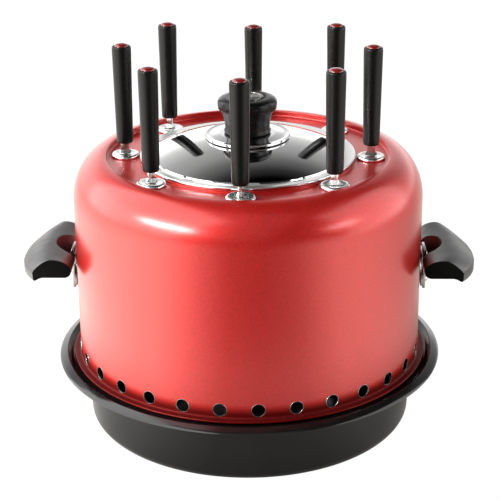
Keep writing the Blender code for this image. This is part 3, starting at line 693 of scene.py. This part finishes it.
# %% Bright rings round the vents
hoops, given, result = new_tree("ring_of_hoops", RING_INPUTS + [
    ("Hoop radius", "Float"), ("Wire radius", "Float"), ("Finish", "Material")])
given = given.outputs
spots, facing = ring_of_points(hoops, given)
path, wire = [
    add_node(hoops, "GeometryNodeCurvePrimitiveCircle", [("Resolution", steps), ("Radius", given[radius])])
    for steps, radius in ((28, "Hoop radius"), (6, "Wire radius"))]
hoop = add_node(hoops, "GeometryNodeCurveToMesh", [
    ("Curve", path.outputs[0]), ("Profile Curve", wire.outputs[0])])
set_out = add_node(hoops, "GeometryNodeInstanceOnPoints", [
    ("Points", spots), ("Instance", hoop.outputs[0]), ("Rotation", facing)])
end_tree(hoops, set_out.outputs[0], given["Finish"], result)
vent_rings = add_piece("vent_rings", [], [])
run_tree(vent_rings, hoops, {
    "Count": VENT_COUNT, "Wall radius": BODY_RADIUS - 0.0001, "Height": vent_height,
    "Phase": VENT_PHASE - math.pi / 2, "Hoop radius": VENT_RADIUS + 0.0001, "Wire radius": 0.00022,
    "Finish": bare_metal})
outward(vent_rings.data)
shade(vent_rings)
settle(vent_rings, "pot", "red_pearl_paint")

# %% [markdown]
# ## Lid
# The lid is a shallow polished dome with a flat rim and a skirt that drops into the pot's mouth. Its dome is
# part of a sphere, because the reflections of the grips in it bend as they would in one.

# %% Lid
RIM_WIDTH = 0.0092
RIM_DISH = 0.0008
LID_SHEET = 0.0012
STUD_HOLE = 0.0028
skirt = mouth - 0.0008
lid_base = seat_height + FIT
rim_height = lid_base + 0.0022
dome_radius = LID_RADIUS - RIM_WIDTH
dome_edge = rim_height + 0.00055
rise = lid_high.z - dome_edge
sphere = (dome_radius ** 2 + rise ** 2) / (2 * rise)


def dome_height(radius):
    return dome_edge + rise - sphere + math.sqrt(sphere ** 2 - radius ** 2)


DOME_STEPS = 24
CURL_STEPS = 12
curl = dome_radius * 0.9
radii = [STUD_HOLE + (dome_radius - STUD_HOLE) * share / DOME_STEPS for share in range(DOME_STEPS + 1)]
profile = [(radius, dome_height(radius)) for radius in radii]
profile += eased([(dome_radius, dome_edge, 0), (dome_radius + 0.0004, rim_height - RIM_DISH, 0.0002),
                  (LID_RADIUS, rim_height - 0.0001, 0.0010), (LID_RADIUS, lid_base, 0.0006),
                  (skirt, lid_base, 0.0004), (skirt, lid_low.z, 0.0003),
                  (skirt - LID_SHEET, lid_low.z, 0.0003),
                  (skirt - LID_SHEET, dome_height(skirt) - LID_SHEET, 0.0006),
                  (curl, dome_height(curl) - LID_SHEET, 0)])[1:]
for share in range(1, CURL_STEPS + 1):
    radius = curl + (STUD_HOLE - curl) * share / CURL_STEPS
    profile.append((radius, dome_height(radius) - LID_SHEET))
lid = turned("polished_lid", profile, 192)
lid.data.materials.append(lid_steel)
lid.data.materials.append(rim_steel)
for face in lid.data.polygons:
    if math.hypot(face.center.x, face.center.y) > dome_radius and face.normal.z > 0.3:
        face.material_index = 1
settle(lid, "lid", "polished_steel", "lid")

# %% [markdown]
# The saucer is a dished plate under the knob, with a rounded edge that gives a bright double line. The knob
# is a turned moulding: a broad head with a soft edge, a step below it and a waist. A dished metal hub closes
# its top, and a screw and washer under the lid hold it all.

# %% Saucer, knob, hub and screw
saucer_low, saucer_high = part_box("lid_saucer")
SAUCER_RADIUS = saucer_high.x
top = saucer_high.z
profile = eased([
    (STUD_HOLE, top, 0), (0.0225, top, 0.0012), (0.0300, top - 0.0013, 0.0016),
    (SAUCER_RADIUS, top - 0.0007, 0.0010), (SAUCER_RADIUS - 0.0002, top - 0.0032, 0.0009),
    (0.0300, dome_height(0.0300) + 0.0004, 0.0010), (0.0150, dome_height(0.0150) + FIT, 0),
    (STUD_HOLE, dome_height(STUD_HOLE) + FIT, 0)])
saucer = turned("knob_saucer", profile, 128)
saucer.data.materials.append(chrome)
settle(saucer, "lid", "chrome", "lid_saucer")

knob_low, knob_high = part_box("lid_knob")
hub_low, hub_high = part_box("knob_hub")
screw_low, screw_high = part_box("knob_screw")
KNOB_RADIUS = knob_high.x
HUB_SEAT = hub_high.x + FIT
KNOB_FOOT = 0.0188
KNOB_WAIST = 0.0178
foot = knob_low.z
head = knob_high.z
profile = eased([
    (0.0, hub_low.z - FIT, 0), (HUB_SEAT, hub_low.z - FIT, 0.0003), (HUB_SEAT, head - 0.0006, 0.0005),
    (HUB_SEAT + 0.0030, head, 0.0020), (KNOB_RADIUS - 0.0040, head - 0.0004, 0.0022),
    (KNOB_RADIUS - 0.0006, head - 0.0022, 0.0018), (KNOB_RADIUS, head - 0.0052, 0.0014),
    (KNOB_RADIUS - 0.0006, head - 0.0096, 0.0008), (KNOB_WAIST + 0.0031, head - 0.0108, 0.0005),
    (KNOB_WAIST + 0.0014, head - 0.0155, 0.0025), (KNOB_WAIST, head - 0.0205, 0.0025),
    (KNOB_WAIST, foot + 0.0032, 0.0012), (KNOB_FOOT, foot + 0.0016, 0.0007),
    (KNOB_FOOT - 0.0008, foot, 0.0006), (STUD_HOLE, foot, 0),
    (STUD_HOLE, screw_high.z + FIT, 0), (0.0, screw_high.z + FIT, 0)], 8)
knob = turned("lid_knob_moulding", profile, 96, closed=False)
knob.data.materials.append(knob_black)
settle(knob, "lid", "matte_bakelite", "lid_knob")

HUB_RADIUS = hub_high.x
HUB_DISH = 0.0012
profile = arc_points((0.0, hub_high.z - 0.0004), (HUB_RADIUS - 0.0010, HUB_DISH), -90, 0, 12)
profile += eased([(HUB_RADIUS - 0.0010, hub_high.z, 0.0003), (HUB_RADIUS, hub_high.z, 0.0003),
                  (HUB_RADIUS, hub_low.z, 0), (0.0, hub_low.z, 0)], 3)
hub = turned("knob_cap", profile, 64, closed=False)
hub.data.materials.append(strap_steel)
settle(hub, "lid", "chrome", "knob_hub")

washer_low, washer_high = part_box("knob_washer")
STUD_RADIUS = 0.0025
profile = eased([
    (0.0, screw_high.z, 0), (STUD_RADIUS, screw_high.z, 0.0004), (STUD_RADIUS, washer_low.z - FIT, 0),
    (screw_high.x, washer_low.z - FIT, 0.0003), (screw_high.x, screw_low.z, 0.0009),
    (0.0018, screw_low.z, 0.0002), (0.0016, screw_low.z + 0.0010, 0), (0.0, screw_low.z + 0.0010, 0)], 4)
knob_screw = turned("knob_fixing_screw", profile, 40, closed=False)
knob_screw.data.materials.append(blade_steel)
settle(knob_screw, "lid", "polished_steel", "knob_screw")
profile = eased([
    (STUD_HOLE, washer_high.z, 0.0002), (washer_high.x, washer_high.z, 0.0003),
    (washer_high.x, washer_low.z, 0.0003), (STUD_HOLE, washer_low.z, 0.0002)], 3)
washer = turned("knob_fixing_washer", profile, 48)
washer.data.materials.append(blade_steel)
settle(washer, "lid", "polished_steel", "knob_washer")

# %% [markdown]
# ## Skewers
# All eight skewers are the same, so each piece is modelled once, upright on the axis, with its height given
# from the skewer's own disc. A short tree then copies a piece to its place on the ring: it moves it out from
# the pot's axis and turns it so that the flat blade points at the middle. The front skewer has turned a
# little in its disc.

# %% A tree that hangs a skewer piece on the ring
hang, given, result = new_tree("hang_on_ring", [
    ("Piece", "Object"), ("Ring radius", "Float"), ("Turn", "Float"), ("Own turn", "Float"),
    ("Height", "Float"), ("Finish", "Material")])
given = given.outputs
piece_info = add_node(hang, "GeometryNodeObjectInfo", [("Object", given["Piece"])])
own = add_node(hang, "ShaderNodeCombineXYZ", [("Z", given["Own turn"])])
out = add_node(hang, "ShaderNodeCombineXYZ", [("X", given["Ring radius"]), ("Z", given["Height"])])
moved = add_node(hang, "GeometryNodeTransform", [
    ("Geometry", piece_info.outputs["Geometry"]), ("Translation", out.outputs[0]),
    ("Rotation", own.outputs[0])])
spin = add_node(hang, "ShaderNodeCombineXYZ", [("Z", given["Turn"])])
swung = add_node(hang, "GeometryNodeTransform", [
    ("Geometry", moved.outputs[0]), ("Rotation", spin.outputs[0])])
end_tree(hang, swung.outputs[0], given["Finish"], result)

FRONT_SKEWER = 1
FRONT_TURN = math.radians(-24)


def hang_piece(name, template, number, height, finish):
    """A copy of the template on skewer axis number, with its own zero at the given height."""
    spot = skewer_axis[number]
    piece = add_piece(name, [], [])
    run_tree(piece, hang, {"Piece": template, "Ring radius": math.hypot(spot.x, spot.y),
                           "Turn": math.atan2(spot.y, spot.x), "Height": height, "Finish": finish,
                           "Own turn": FRONT_TURN if number == FRONT_SKEWER else 0.0})
    return shade(piece)


# %% [markdown]
# A disc is a shallow pressed cap with a round hole for the blade and a rolled edge. The blade is a flat strip
# with ears that hold the disc, a pointed tip and a tang up inside the grip; a Bevel modifier breaks its
# edges, and a thin round collar covers the disc's hole. The grip tapers towards the disc, and the plug is a
# low dome in its end.

# %% Skewer pieces
disc_top = disc_high.z
DISC_RADIUS = (disc_high.x - disc_low.x) / 2
DISC_DEPTH = disc_high.z - disc_low.z
DISC_SHEET = 0.0011
DISC_HOLE = 0.00367
DISC_DISH = 0.0006
profile = eased([
    (DISC_HOLE, -DISC_DISH, 0.0002), (0.0104, 0.0, 0.0012), (DISC_RADIUS, -0.0013, 0.0006),
    (DISC_RADIUS, -DISC_DEPTH, 0.0004), (DISC_RADIUS - DISC_SHEET, -DISC_DEPTH, 0.0003),
    (0.0098, -0.0002 - DISC_SHEET, 0.0008), (DISC_HOLE, -DISC_SHEET, 0.0002)], 4)
disc_template = turned("disc_template", profile, 56)

BLADE_HALF = 0.00325
BLADE_THICKNESS = 0.0018
EAR_HALF = 0.0046
EAR_HEIGHT = 0.0016
BLADE_TIP = 0.0160
blade_low, blade_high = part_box("skewer_1_blade")
reach = disc_top - blade_low.z
tang = blade_high.z - disc_top
under = -DISC_SHEET - FIT
right = [(BLADE_HALF, BLADE_TIP - reach), (BLADE_HALF, under - 2 * EAR_HEIGHT),
         (EAR_HALF, under - EAR_HEIGHT), (EAR_HALF, under), (BLADE_HALF, under), (BLADE_HALF, FIT),
         (EAR_HALF, FIT), (EAR_HALF, FIT + EAR_HEIGHT), (BLADE_HALF, FIT + 2 * EAR_HEIGHT),
         (BLADE_HALF, tang)]
outline = [(0.0, -reach)] + right + [(-x, z) for x, z in reversed(right)]
blade_template = flat_strip("blade_template", outline, BLADE_THICKNESS / 2)
break_edges(blade_template, 0.00025, 2)
bake(blade_template)
COLLAR_RADIUS = 0.0047
profile = eased([(0.0, 0.00055, 0), (COLLAR_RADIUS, 0.00055, 0.0002), (COLLAR_RADIUS, 0.0002, 0.0001),
                 (0.0, 0.0002, 0)], 3)
collar = turned("collar_template", profile, 48, closed=False)
shape = bmesh.new()
for part in (blade_template, collar):
    shape.from_mesh(part.data)
shape.to_mesh(blade_template.data)
shape.free()
bpy.data.objects.remove(collar)
shade(blade_template, 40)

grip_low, grip_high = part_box("skewer_1_grip")
plug_low, plug_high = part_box("skewer_1_plug")
GRIP_LENGTH = grip_high.z - grip_low.z
GRIP_TOP = 0.0076
GRIP_BOTTOM = 0.0063
PLUG_RADIUS = (plug_high.x - plug_low.x) / 2
plug_seat = plug_low.z - grip_low.z
profile = eased([
    (0.0, plug_seat - FIT, 0), (PLUG_RADIUS + FIT, plug_seat - FIT, 0.0002),
    (PLUG_RADIUS + FIT, GRIP_LENGTH, 0.0003), (GRIP_TOP - 0.0002, GRIP_LENGTH, 0.0013),
    (GRIP_TOP, GRIP_LENGTH - 0.0030, 0.0012), (GRIP_BOTTOM + 0.0003, 0.0040, 0.0020),
    (GRIP_BOTTOM, 0.0, 0.0014), (0.0, 0.0, 0)])
grip_template = turned("grip_template", profile, 56, closed=False)
dome = plug_high.z - plug_low.z
profile = arc_points((0.0, 0.0010), (PLUG_RADIUS, dome - 0.0010), 90, 0, 12)
profile += [(PLUG_RADIUS, 0.0), (0.0, 0.0)]
plug_template = turned("plug_template", profile, 48, closed=False)
print("disc", round(DISC_RADIUS * 2000, 1), "mm, blade", round((reach + tang) * 1000, 1), "mm, grip",
      round(GRIP_LENGTH * 1000, 1), "mm")

# %% Hang the eight skewers
for number in SKEWERS:
    name = f"skewer_{number}"
    disc = hang_piece(f"disc_{number}", disc_template, number, disc_top, disc_steel)
    settle(disc, f"disc_{number}", "polished_steel", name + "_disc")
    low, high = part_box(name + "_blade")
    blade = hang_piece(f"blade_{number}", blade_template, number, high.z - tang, blade_steel)
    settle(blade, name, "polished_steel", name + "_blade")
    low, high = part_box(name + "_grip")
    grip = hang_piece(f"grip_{number}", grip_template, number, low.z, grip_black)
    settle(grip, name, "satin_black_plastic", name + "_grip")
    plug = hang_piece(f"plug_{number}", plug_template, number, low.z + plug_seat, plug_red)
    settle(plug, name, "red_gloss_plastic", name + "_plug")
for template in (disc_template, blade_template, grip_template, plug_template):
    bpy.data.objects.remove(template)

# %% [markdown]
# ## Side handles
# Each grip is a thick moulded shelf with an arched section and a bowed outer edge that turns down into a lip.
# It is lofted over sections along Y. A funnel-shaped notch by the pot lets the bracket through, and the end
# faces get a near-black, dull finish as painted shade. One handle is modelled at +X, and the other is the same
# mesh turned half round.

# %% Handle grip
handle_low, handle_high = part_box("right_handle_grip")
DROOP = 0.0026
CROWN = handle_high.z - handle_low.z - DROOP
HANDLE_BOW = 0.0115
BOW_POWER = 2.5
OUTER_EDGE = 0.0060
INNER_EDGE = 0.0072
RIDGE = 0.52
UNDERCUT = 0.0060
HEEL = 0.20
handle_base = handle_low.z + DROOP
handle_inner = handle_low.x
handle_outer = handle_high.x
half_length = handle_high.y
STATIONS = 41


def handle_outline():
    """Share of the way in from the outer edge, and height over the underside."""
    outline = [(0.60, 0.0), (0.40, 0.0), (0.24, 0.0), (0.16, -0.0007), (0.09, -0.0019), (0.045, -DROOP),
               (0.015, -DROOP + 0.0003), (0.0, -DROOP + 0.0015), (0.0, 0.0020), (0.0, OUTER_EDGE - 0.001)]
    for stop in range(1, 13):
        share = RIDGE * stop / 12
        outline.append((share, OUTER_EDGE + (CROWN - OUTER_EDGE) * math.sin(math.pi / 2 * share / RIDGE)))
    for stop in range(1, 11):
        past = math.sin(math.pi / 2 * stop / 10)
        fall = (CROWN - INNER_EDGE) * (1 - math.sqrt(max(0.0, 1 - past ** 2)))
        outline.append((RIDGE + (1 - RIDGE) * past, CROWN - fall))
    return outline + arc_points((1 - HEEL, INNER_EDGE), (HEEL, INNER_EDGE), -12, -90, 8)


points = []
outline = handle_outline()
count = len(outline)
for station in range(STATIONS):
    along = 2 * station / (STATIONS - 1) - 1
    outer = handle_outer - HANDLE_BOW * abs(along) ** BOW_POWER
    for share, height in outline:
        pull = UNDERCUT * (1 - max(height, 0.0) / CROWN)
        across = outer + (handle_inner - outer) * share
        points.append((across, along * (half_length - pull), handle_base + height))
faces = [list(range(count)), list(range(count * (STATIONS - 1), count * STATIONS))]
for station in range(STATIONS - 1):
    start = station * count
    for index in range(count):
        after = (index + 1) % count
        faces.append([start + index, start + after, start + count + after, start + count + index])
handle = add_piece("handle_template", points, faces)

NOTCH_DEPTH = 0.0165
NOTCH_HALF_WIDTH = 0.0200
FUNNEL = (0.62, 1.14)
NOTCH_HEIGHT = 0.024
shape = bmesh.new()
bmesh.ops.create_cone(
    shape, cap_ends=True, segments=64, radius1=FUNNEL[0], radius2=FUNNEL[1], depth=NOTCH_HEIGHT)
place = Matrix.Translation((handle_inner, 0.0, handle_base - 0.0010 + NOTCH_HEIGHT / 2))
shape.transform(place @ Matrix.Diagonal((NOTCH_DEPTH, NOTCH_HALF_WIDTH, 1.0, 1.0)))
notch = cut_away(handle, shape)
break_edges(handle, 0.0007, 3, angle=42)
bake(handle)
outward(handle.data)
bpy.data.objects.remove(notch)
# Painted shade: faces at the grip's ends take the near-black second finish.
END_FACING = 0.75
for face in handle.data.polygons:
    at_end = abs(face.center.y) > half_length - UNDERCUT - 0.0015
    face.material_index = 1 if at_end and abs(face.normal.y) > END_FACING else 0
print("handle grip:", len(handle.data.polygons), "faces")

# %% [markdown]
# The bracket is a steel strap: a plate on the pot wall, two pads that touch the wall where the rivets go
# through, and an arm under the grip. It is drawn from the side and given its width, and a Bevel rounds it.

# %% Bracket
bracket_low, bracket_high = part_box("right_handle_bracket")
rivet_spots = [
    (high + low) / 2
    for low, high in (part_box("right_handle_upper_rivet"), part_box("right_handle_lower_rivet"))]
STRAP = 0.0024
arm_top = handle_base - FIT
wall = bracket_low.x
plate_face = wall + 0.0018 + STRAP
plate_back = plate_face - STRAP
PAD = 0.0050
outline = [(plate_face, bracket_low.z), (plate_face, arm_top - STRAP), (bracket_high.x, arm_top - STRAP),
           (bracket_high.x, arm_top), (plate_face, arm_top), (plate_face, bracket_high.z),
           (plate_back, bracket_high.z)]
for spot in rivet_spots:
    outline += [(plate_back, spot.z + PAD), (wall, spot.z + PAD)]
    outline += [(wall, spot.z - PAD), (plate_back, spot.z - PAD)]
outline.append((plate_back, bracket_low.z))
bracket = flat_strip("bracket_template", outline, bracket_high.y)
break_edges(bracket, 0.0006, 3)
shade(bake(bracket), 40)

# %% [markdown]
# Rivets and screws repeat, so a tree sets them out. A small mesh holds one point for each fastener, the tree
# puts a copy of the template on each point and an attribute says which way it faces.

# %% A tree that sets out fasteners
fasten, given, result = new_tree("set_out_fasteners", [("Fastener", "Object"), ("Finish", "Material")])
given = given.outputs
fastener = add_node(fasten, "GeometryNodeObjectInfo", [("Object", given["Fastener"])])
facing = add_node(
    fasten, "GeometryNodeInputNamedAttribute", [("Name", "facing")], data_type="FLOAT_VECTOR")
turn = add_node(fasten, "FunctionNodeAlignRotationToVector", [("Vector", facing.outputs[0])], axis="Z")
copies = add_node(fasten, "GeometryNodeInstanceOnPoints", [
    ("Points", given["Geometry"]), ("Instance", fastener.outputs["Geometry"]),
    ("Rotation", turn.outputs[0])])
end_tree(fasten, copies.outputs[0], given["Finish"], result)


def set_out(name, template, spots, finish):
    """spots pairs a place with the way the fastener's head faces."""
    piece = add_piece(name, [place for place, way in spots], [])
    way = piece.data.attributes.new("facing", "FLOAT_VECTOR", "POINT")
    for index, (place, direction) in enumerate(spots):
        way.data[index].vector = direction
    run_tree(piece, fasten, {"Fastener": template, "Finish": finish})
    return shade(piece)


# %% Rivets and arm screws
rivet_low, rivet_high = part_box("right_handle_upper_rivet")
RIVET_HEAD = 0.0043
RIVET_SHANK = 0.0022
tail = rivet_low.x
shank = plate_face + FIT - tail
length = rivet_high.x - rivet_low.x
profile = arc_points((0.0, shank), (RIVET_HEAD, length - shank), 90, 0, 10)
profile += eased([(RIVET_HEAD, shank, 0), (RIVET_SHANK, shank, 0), (RIVET_SHANK, 0.0012, 0),
                  (RIVET_HEAD, 0.0012, 0.0003), (RIVET_HEAD, 0.0, 0.0006), (0.0, 0.0, 0)], 3)[1:]
rivet_template = turned("rivet_template", profile, 40, closed=False)
spots = []
for side in (-1, 1):
    spots += [((side * tail, 0.0, spot.z), (side, 0.0, 0.0)) for spot in rivet_spots]
rivets = set_out("handle_rivets", rivet_template, spots, chrome)
settle(rivets, "pot", "polished_steel", *[f"{side}_handle_{level}_rivet" for side in ("left", "right")
                                          for level in ("upper", "lower")])

screw_low, screw_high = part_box("right_handle_screw")
screw_spot = (screw_low + screw_high) / 2
SCREW_RADIUS = 0.0018
SCREW_HEAD = 0.0036
HEAD_HEIGHT = 0.0022
length = screw_high.z - screw_low.z
profile = eased([
    (0.0, 0.0008, 0), (0.0012, 0.0008, 0), (0.0014, 0.0, 0.0002), (0.0026, 0.0, 0.0006),
    (SCREW_HEAD, HEAD_HEIGHT, 0.0005), (SCREW_RADIUS, HEAD_HEIGHT, 0), (SCREW_RADIUS, length, 0.0003),
    (0.0, length, 0)], 4)
screw_template = turned("screw_template", profile, 40, closed=False)
spots = [((side * screw_spot.x, 0.0, screw_low.z), (0.0, 0.0, 1.0)) for side in (-1, 1)]
screws = set_out("handle_screws", screw_template, spots, blade_steel)
settle(screws, "pot", "polished_steel", "left_handle_screw", "right_handle_screw")
for template in (rivet_template, screw_template):
    bpy.data.objects.remove(template)

# %% Both handles
for side, turn in (("right", 0.0), ("left", math.pi)):
    for template, label, finishes, slot in ((handle, "grip", (bakelite, end_shade_bakelite), "matte_bakelite"),
                                            (bracket, "bracket", (strap_steel,), "polished_steel")):
        piece = in_scene(f"{side}_side_{label}", template.data.copy())
        piece.data.transform(Matrix.Rotation(turn, 4, "Z"))
        ends = [face.material_index for face in piece.data.polygons]
        piece.data.materials.clear()
        for finish in finishes:
            piece.data.materials.append(finish)
        piece.data.polygons.foreach_set("material_index", ends)
        shade(piece, 40)
        settle(piece, "pot", slot, f"{side}_handle_{label}")
for template in (handle, bracket):
    bpy.data.objects.remove(template)

# %% [markdown]
# ## Stage
# The pot stands on a white sweep in a dim studio. The floor shows white to the camera and in reflections, and
# still takes a soft shadow. Towards the camera its reflection falls off, which leaves the front of the drum a
# deeper red than its sides.

# %% Floor
def grey_ramp(tree, source, stops):
    """A ramp of greys over 0 to 1."""
    ramp = tree.nodes.new("ShaderNodeValToRGB")
    while len(ramp.color_ramp.elements) < len(stops):
        ramp.color_ramp.elements.new(0.5)
    for element, (place, grey) in zip(ramp.color_ramp.elements, stops):
        element.position = place
        element.color = (grey, grey, grey, 1.0)
    tree.links.new(source, ramp.inputs["Fac"])
    return ramp.outputs["Color"]


def calculate(tree, operation, first, second=None):
    """One Math node. Each operand is a socket or a plain number."""
    step = tree.nodes.new("ShaderNodeMath")
    step.operation = operation
    for socket, operand in zip(step.inputs, (first, second)):
        if isinstance(operand, bpy.types.NodeSocket):
            tree.links.new(operand, socket)
        elif operand is not None:
            socket.default_value = operand
    return step.outputs[0]


def camera_or_mirror(tree):
    """1 for rays straight from the camera, a mirror or glass, and 0 for light that fills the scene."""
    ray = tree.nodes.new("ShaderNodeLightPath").outputs
    first = calculate(tree, "MAXIMUM", ray["Is Camera Ray"], ray["Is Glossy Ray"])
    return calculate(tree, "MAXIMUM", first, ray["Is Transmission Ray"])


FLOOR_SIZE = 6.0
FLOOR_DROP = 0.0002
FLOOR_WHITE = 1.06
corners = [(x * FLOOR_SIZE, y * FLOOR_SIZE, 0) for x, y in ((-1, -1), (1, -1), (1, 1), (-1, 1))]
floor_mesh = bpy.data.meshes.new("floor")
floor_mesh.from_pydata(corners, [], [(0, 1, 2, 3)])
floor = in_scene("floor", floor_mesh)
floor.location.z = -FLOOR_DROP
sweep = bpy.data.materials.new("white_sweep")
sweep.use_nodes = True
tree = sweep.node_tree
tree.nodes.clear()
matte = tree.nodes.new("ShaderNodeBsdfDiffuse")
matte.inputs["Color"].default_value = (0.95, 0.95, 0.95, 1.0)
glow = tree.nodes.new("ShaderNodeEmission")
place = tree.nodes.new("ShaderNodeTexCoord")
distance = tree.nodes.new("ShaderNodeVectorMath")
distance.operation = "LENGTH"
tree.links.new(place.outputs["Object"], distance.inputs[0])


def turn_stops(brightness):
    """Ramp stops from pairs of degrees, counted from the front towards +X, and brightness."""
    return [(degrees / 360 + 0.5, grey / BRIGHTEST) for degrees, grey in brightness]


BRIGHTEST = 5.0
ALL_ROUND = ((-180, 1.6), (-130, 1.5), (-115, 2.5), (-93, 3.5), (-75, 4.2), (-50, 4.0), (-28, 1.5), (-12, 0.2),
             (8, 0.05), (28, 0.5), (54, 2.4), (75, 2.1), (104, 1.0), (122, 0.6), (180, 1.2))
FROM_POT = ((0.15, 0.18), (0.20, 0.26), (0.25, 0.5), (0.31, 1.0))
AHEAD = ((0.14, 0.25), (0.24, 0.45), (0.31, 0.95), (0.41, 0.06), (0.56, 0.01), (0.75, 0.0))
AHEAD_ARC = ((-60, 0.0), (-28, 4.2), (0, 5.0), (28, 4.2), (60, 0.0))
split = tree.nodes.new("ShaderNodeSeparateXYZ")
tree.links.new(place.outputs["Object"], split.inputs[0])
frontwards = calculate(tree, "MULTIPLY", split.outputs["Y"], -1.0)
angle = calculate(tree, "ARCTAN2", split.outputs["X"], frontwards)
turn = calculate(tree, "ADD", calculate(tree, "DIVIDE", angle, math.tau), 0.5)
round_about = calculate(tree, "MULTIPLY", grey_ramp(tree, turn, turn_stops(ALL_ROUND)), BRIGHTEST)
round_about = calculate(tree, "MULTIPLY", round_about, grey_ramp(tree, distance.outputs["Value"], FROM_POT))
ahead = calculate(tree, "MULTIPLY", grey_ramp(tree, turn, turn_stops(AHEAD_ARC)),
                  grey_ramp(tree, distance.outputs["Value"], AHEAD))
mirrored = calculate(tree, "ADD", round_about, ahead)
seen = tree.nodes.new("ShaderNodeLightPath")
strength = tree.nodes.new("ShaderNodeMix")
strength.inputs["B"].default_value = FLOOR_WHITE
tree.links.new(seen.outputs["Is Camera Ray"], strength.inputs["Factor"])
tree.links.new(mirrored, strength.inputs["A"])
tree.links.new(strength.outputs["Result"], glow.inputs["Strength"])
warmth = tree.nodes.new("ShaderNodeMixRGB")
warmth.inputs["Color1"].default_value = (1.0, 0.97, 0.90, 1.0)
warmth.inputs["Color2"].default_value = (1.0, 1.0, 1.0, 1.0)
tree.links.new(seen.outputs["Is Camera Ray"], warmth.inputs["Fac"])
tree.links.new(warmth.outputs["Color"], glow.inputs["Color"])
GLOW_SHARE = 0.80
SEEN_EXTRA = 0.12
extra = calculate(tree, "MULTIPLY", camera_or_mirror(tree), SEEN_EXTRA)
share = calculate(tree, "ADD", extra, GLOW_SHARE)
mix = tree.nodes.new("ShaderNodeMixShader")
surface = tree.nodes.new("ShaderNodeOutputMaterial")
tree.links.new(share, mix.inputs["Fac"])
tree.links.new(matte.outputs[0], mix.inputs[1])
tree.links.new(glow.outputs[0], mix.inputs[2])
tree.links.new(mix.outputs[0], surface.inputs["Surface"])
floor.data.materials.append(sweep)
floor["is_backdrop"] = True

# %% [markdown]
# The studio itself is a world that is white low down behind the pot and dark overhead, which is what the
# lid's dome shows. Two broad soft boxes stand left and right, a narrow strip on each side draws the streaks on
# the shoulder, and a weak box in front fills in.

# %% World
world = bpy.data.worlds.new("studio")
bpy.context.scene.world = world
world.use_nodes = True
tree = world.node_tree
tree.nodes.clear()
direction = tree.nodes.new("ShaderNodeTexCoord")
split = tree.nodes.new("ShaderNodeSeparateXYZ")
tree.links.new(direction.outputs["Generated"], split.inputs[0])
SKY_TILT = 0.26
SKY_TOP = 2.5
SKY = ((0.15, 2.4), (0.22, 2.2), (0.32, 1.25), (0.36, 1.05), (0.50, 0.68), (0.62, 0.50), (0.72, 0.24),
       (0.82, 0.05), (0.88, 0.0))
rightwards = calculate(tree, "MULTIPLY", split.outputs["X"], SKY_TILT)
up_and_right = calculate(tree, "ADD", split.outputs["Z"], rightwards)
sky_grey = grey_ramp(tree, up_and_right, [(place, grey / SKY_TOP) for place, grey in SKY])
behind = calculate(tree, "MULTIPLY", ranged(tree, split.outputs["Y"], -0.5, 0.3, 0.04, 1.0), SKY_TOP)
studio = calculate(tree, "MULTIPLY", sky_grey, behind)
seen = tree.nodes.new("ShaderNodeLightPath")
level = calculate(tree, "MAXIMUM", seen.outputs["Is Camera Ray"], studio)
sky = tree.nodes.new("ShaderNodeBackground")
tree.links.new(level, sky.inputs["Strength"])
surface = tree.nodes.new("ShaderNodeOutputWorld")
tree.links.new(sky.outputs[0], surface.inputs["Surface"])


# %% Lamps
def soft_box(name, azimuth, elevation, distance, size, brightness):
    """An area lamp that faces the pot. Azimuth runs from the front towards +X; brightness is radiance."""
    lamp = bpy.data.lights.new(name, "AREA")
    lamp.shape = "RECTANGLE"
    lamp.size, lamp.size_y = size
    lamp.energy = brightness * math.pi * size[0] * size[1]
    box = in_scene(name, lamp)
    turn = math.radians(azimuth)
    tilt = math.radians(elevation)
    aim = Vector((0.0, 0.0, 0.16))
    way = Vector((math.sin(turn) * math.cos(tilt), -math.cos(turn) * math.cos(tilt), math.sin(tilt)))
    box.location = aim + way * distance
    box.rotation_euler = (-way).to_track_quat("-Z", "Y").to_euler()


soft_box("left_soft_box", -82, 36, 1.6, (2.9, 2.2), 3.2)
soft_box("right_soft_box", 92, 23, 1.6, (1.8, 1.6), 2.1)
soft_box("left_strip", -52, 23, 1.6, (0.92, 0.12), 80.0)
soft_box("right_strip", 62, 17, 1.7, (0.60, 0.20), 8.0)
soft_box("front_fill", -18, 46, 1.8, (2.4, 2.4), 0.30)
print("lamps:", len(bpy.data.lights))

# %% [markdown]
# The camera stands in front and a little above, as in the photograph. Its place and lens come from a fit of
# the pot's circles and upright grips to the picture, and its small turn from the heights of the two handles.

# %% Camera
AIM = Vector((0.00119, 0.0, 0.13902))
DISTANCE = 1.2329
ELEVATION = math.radians(22.074)
AZIMUTH = math.radians(1.6)
ROLL = math.radians(-0.463)
LENS = 108.41
camera = in_scene("camera", bpy.data.cameras.new("camera"))
camera.data.lens = LENS
camera.data.sensor_width = 36.0
camera.data.clip_end = 50.0
away = Vector((0.0, -math.cos(ELEVATION), math.sin(ELEVATION)))
upward = Vector((0.0, math.sin(ELEVATION), math.cos(ELEVATION)))
across = Vector((1.0, 0.0, 0.0))
tilted_across = across * math.cos(ROLL) + upward * math.sin(ROLL)
tilted_up = upward * math.cos(ROLL) - across * math.sin(ROLL)
facing = Matrix((tilted_across, tilted_up, away)).transposed().to_4x4()
camera.matrix_world = Matrix.Rotation(AZIMUTH, 4, "Z") @ Matrix.Translation(AIM + away * DISTANCE) @ facing
bpy.context.scene.camera = camera
bpy.context.scene.view_settings.view_transform = "Standard"

# %% Sizes
low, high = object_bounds()
print("visual size in mm:", [round((b - a) * 1000, 1) for a, b in zip(low, high)])
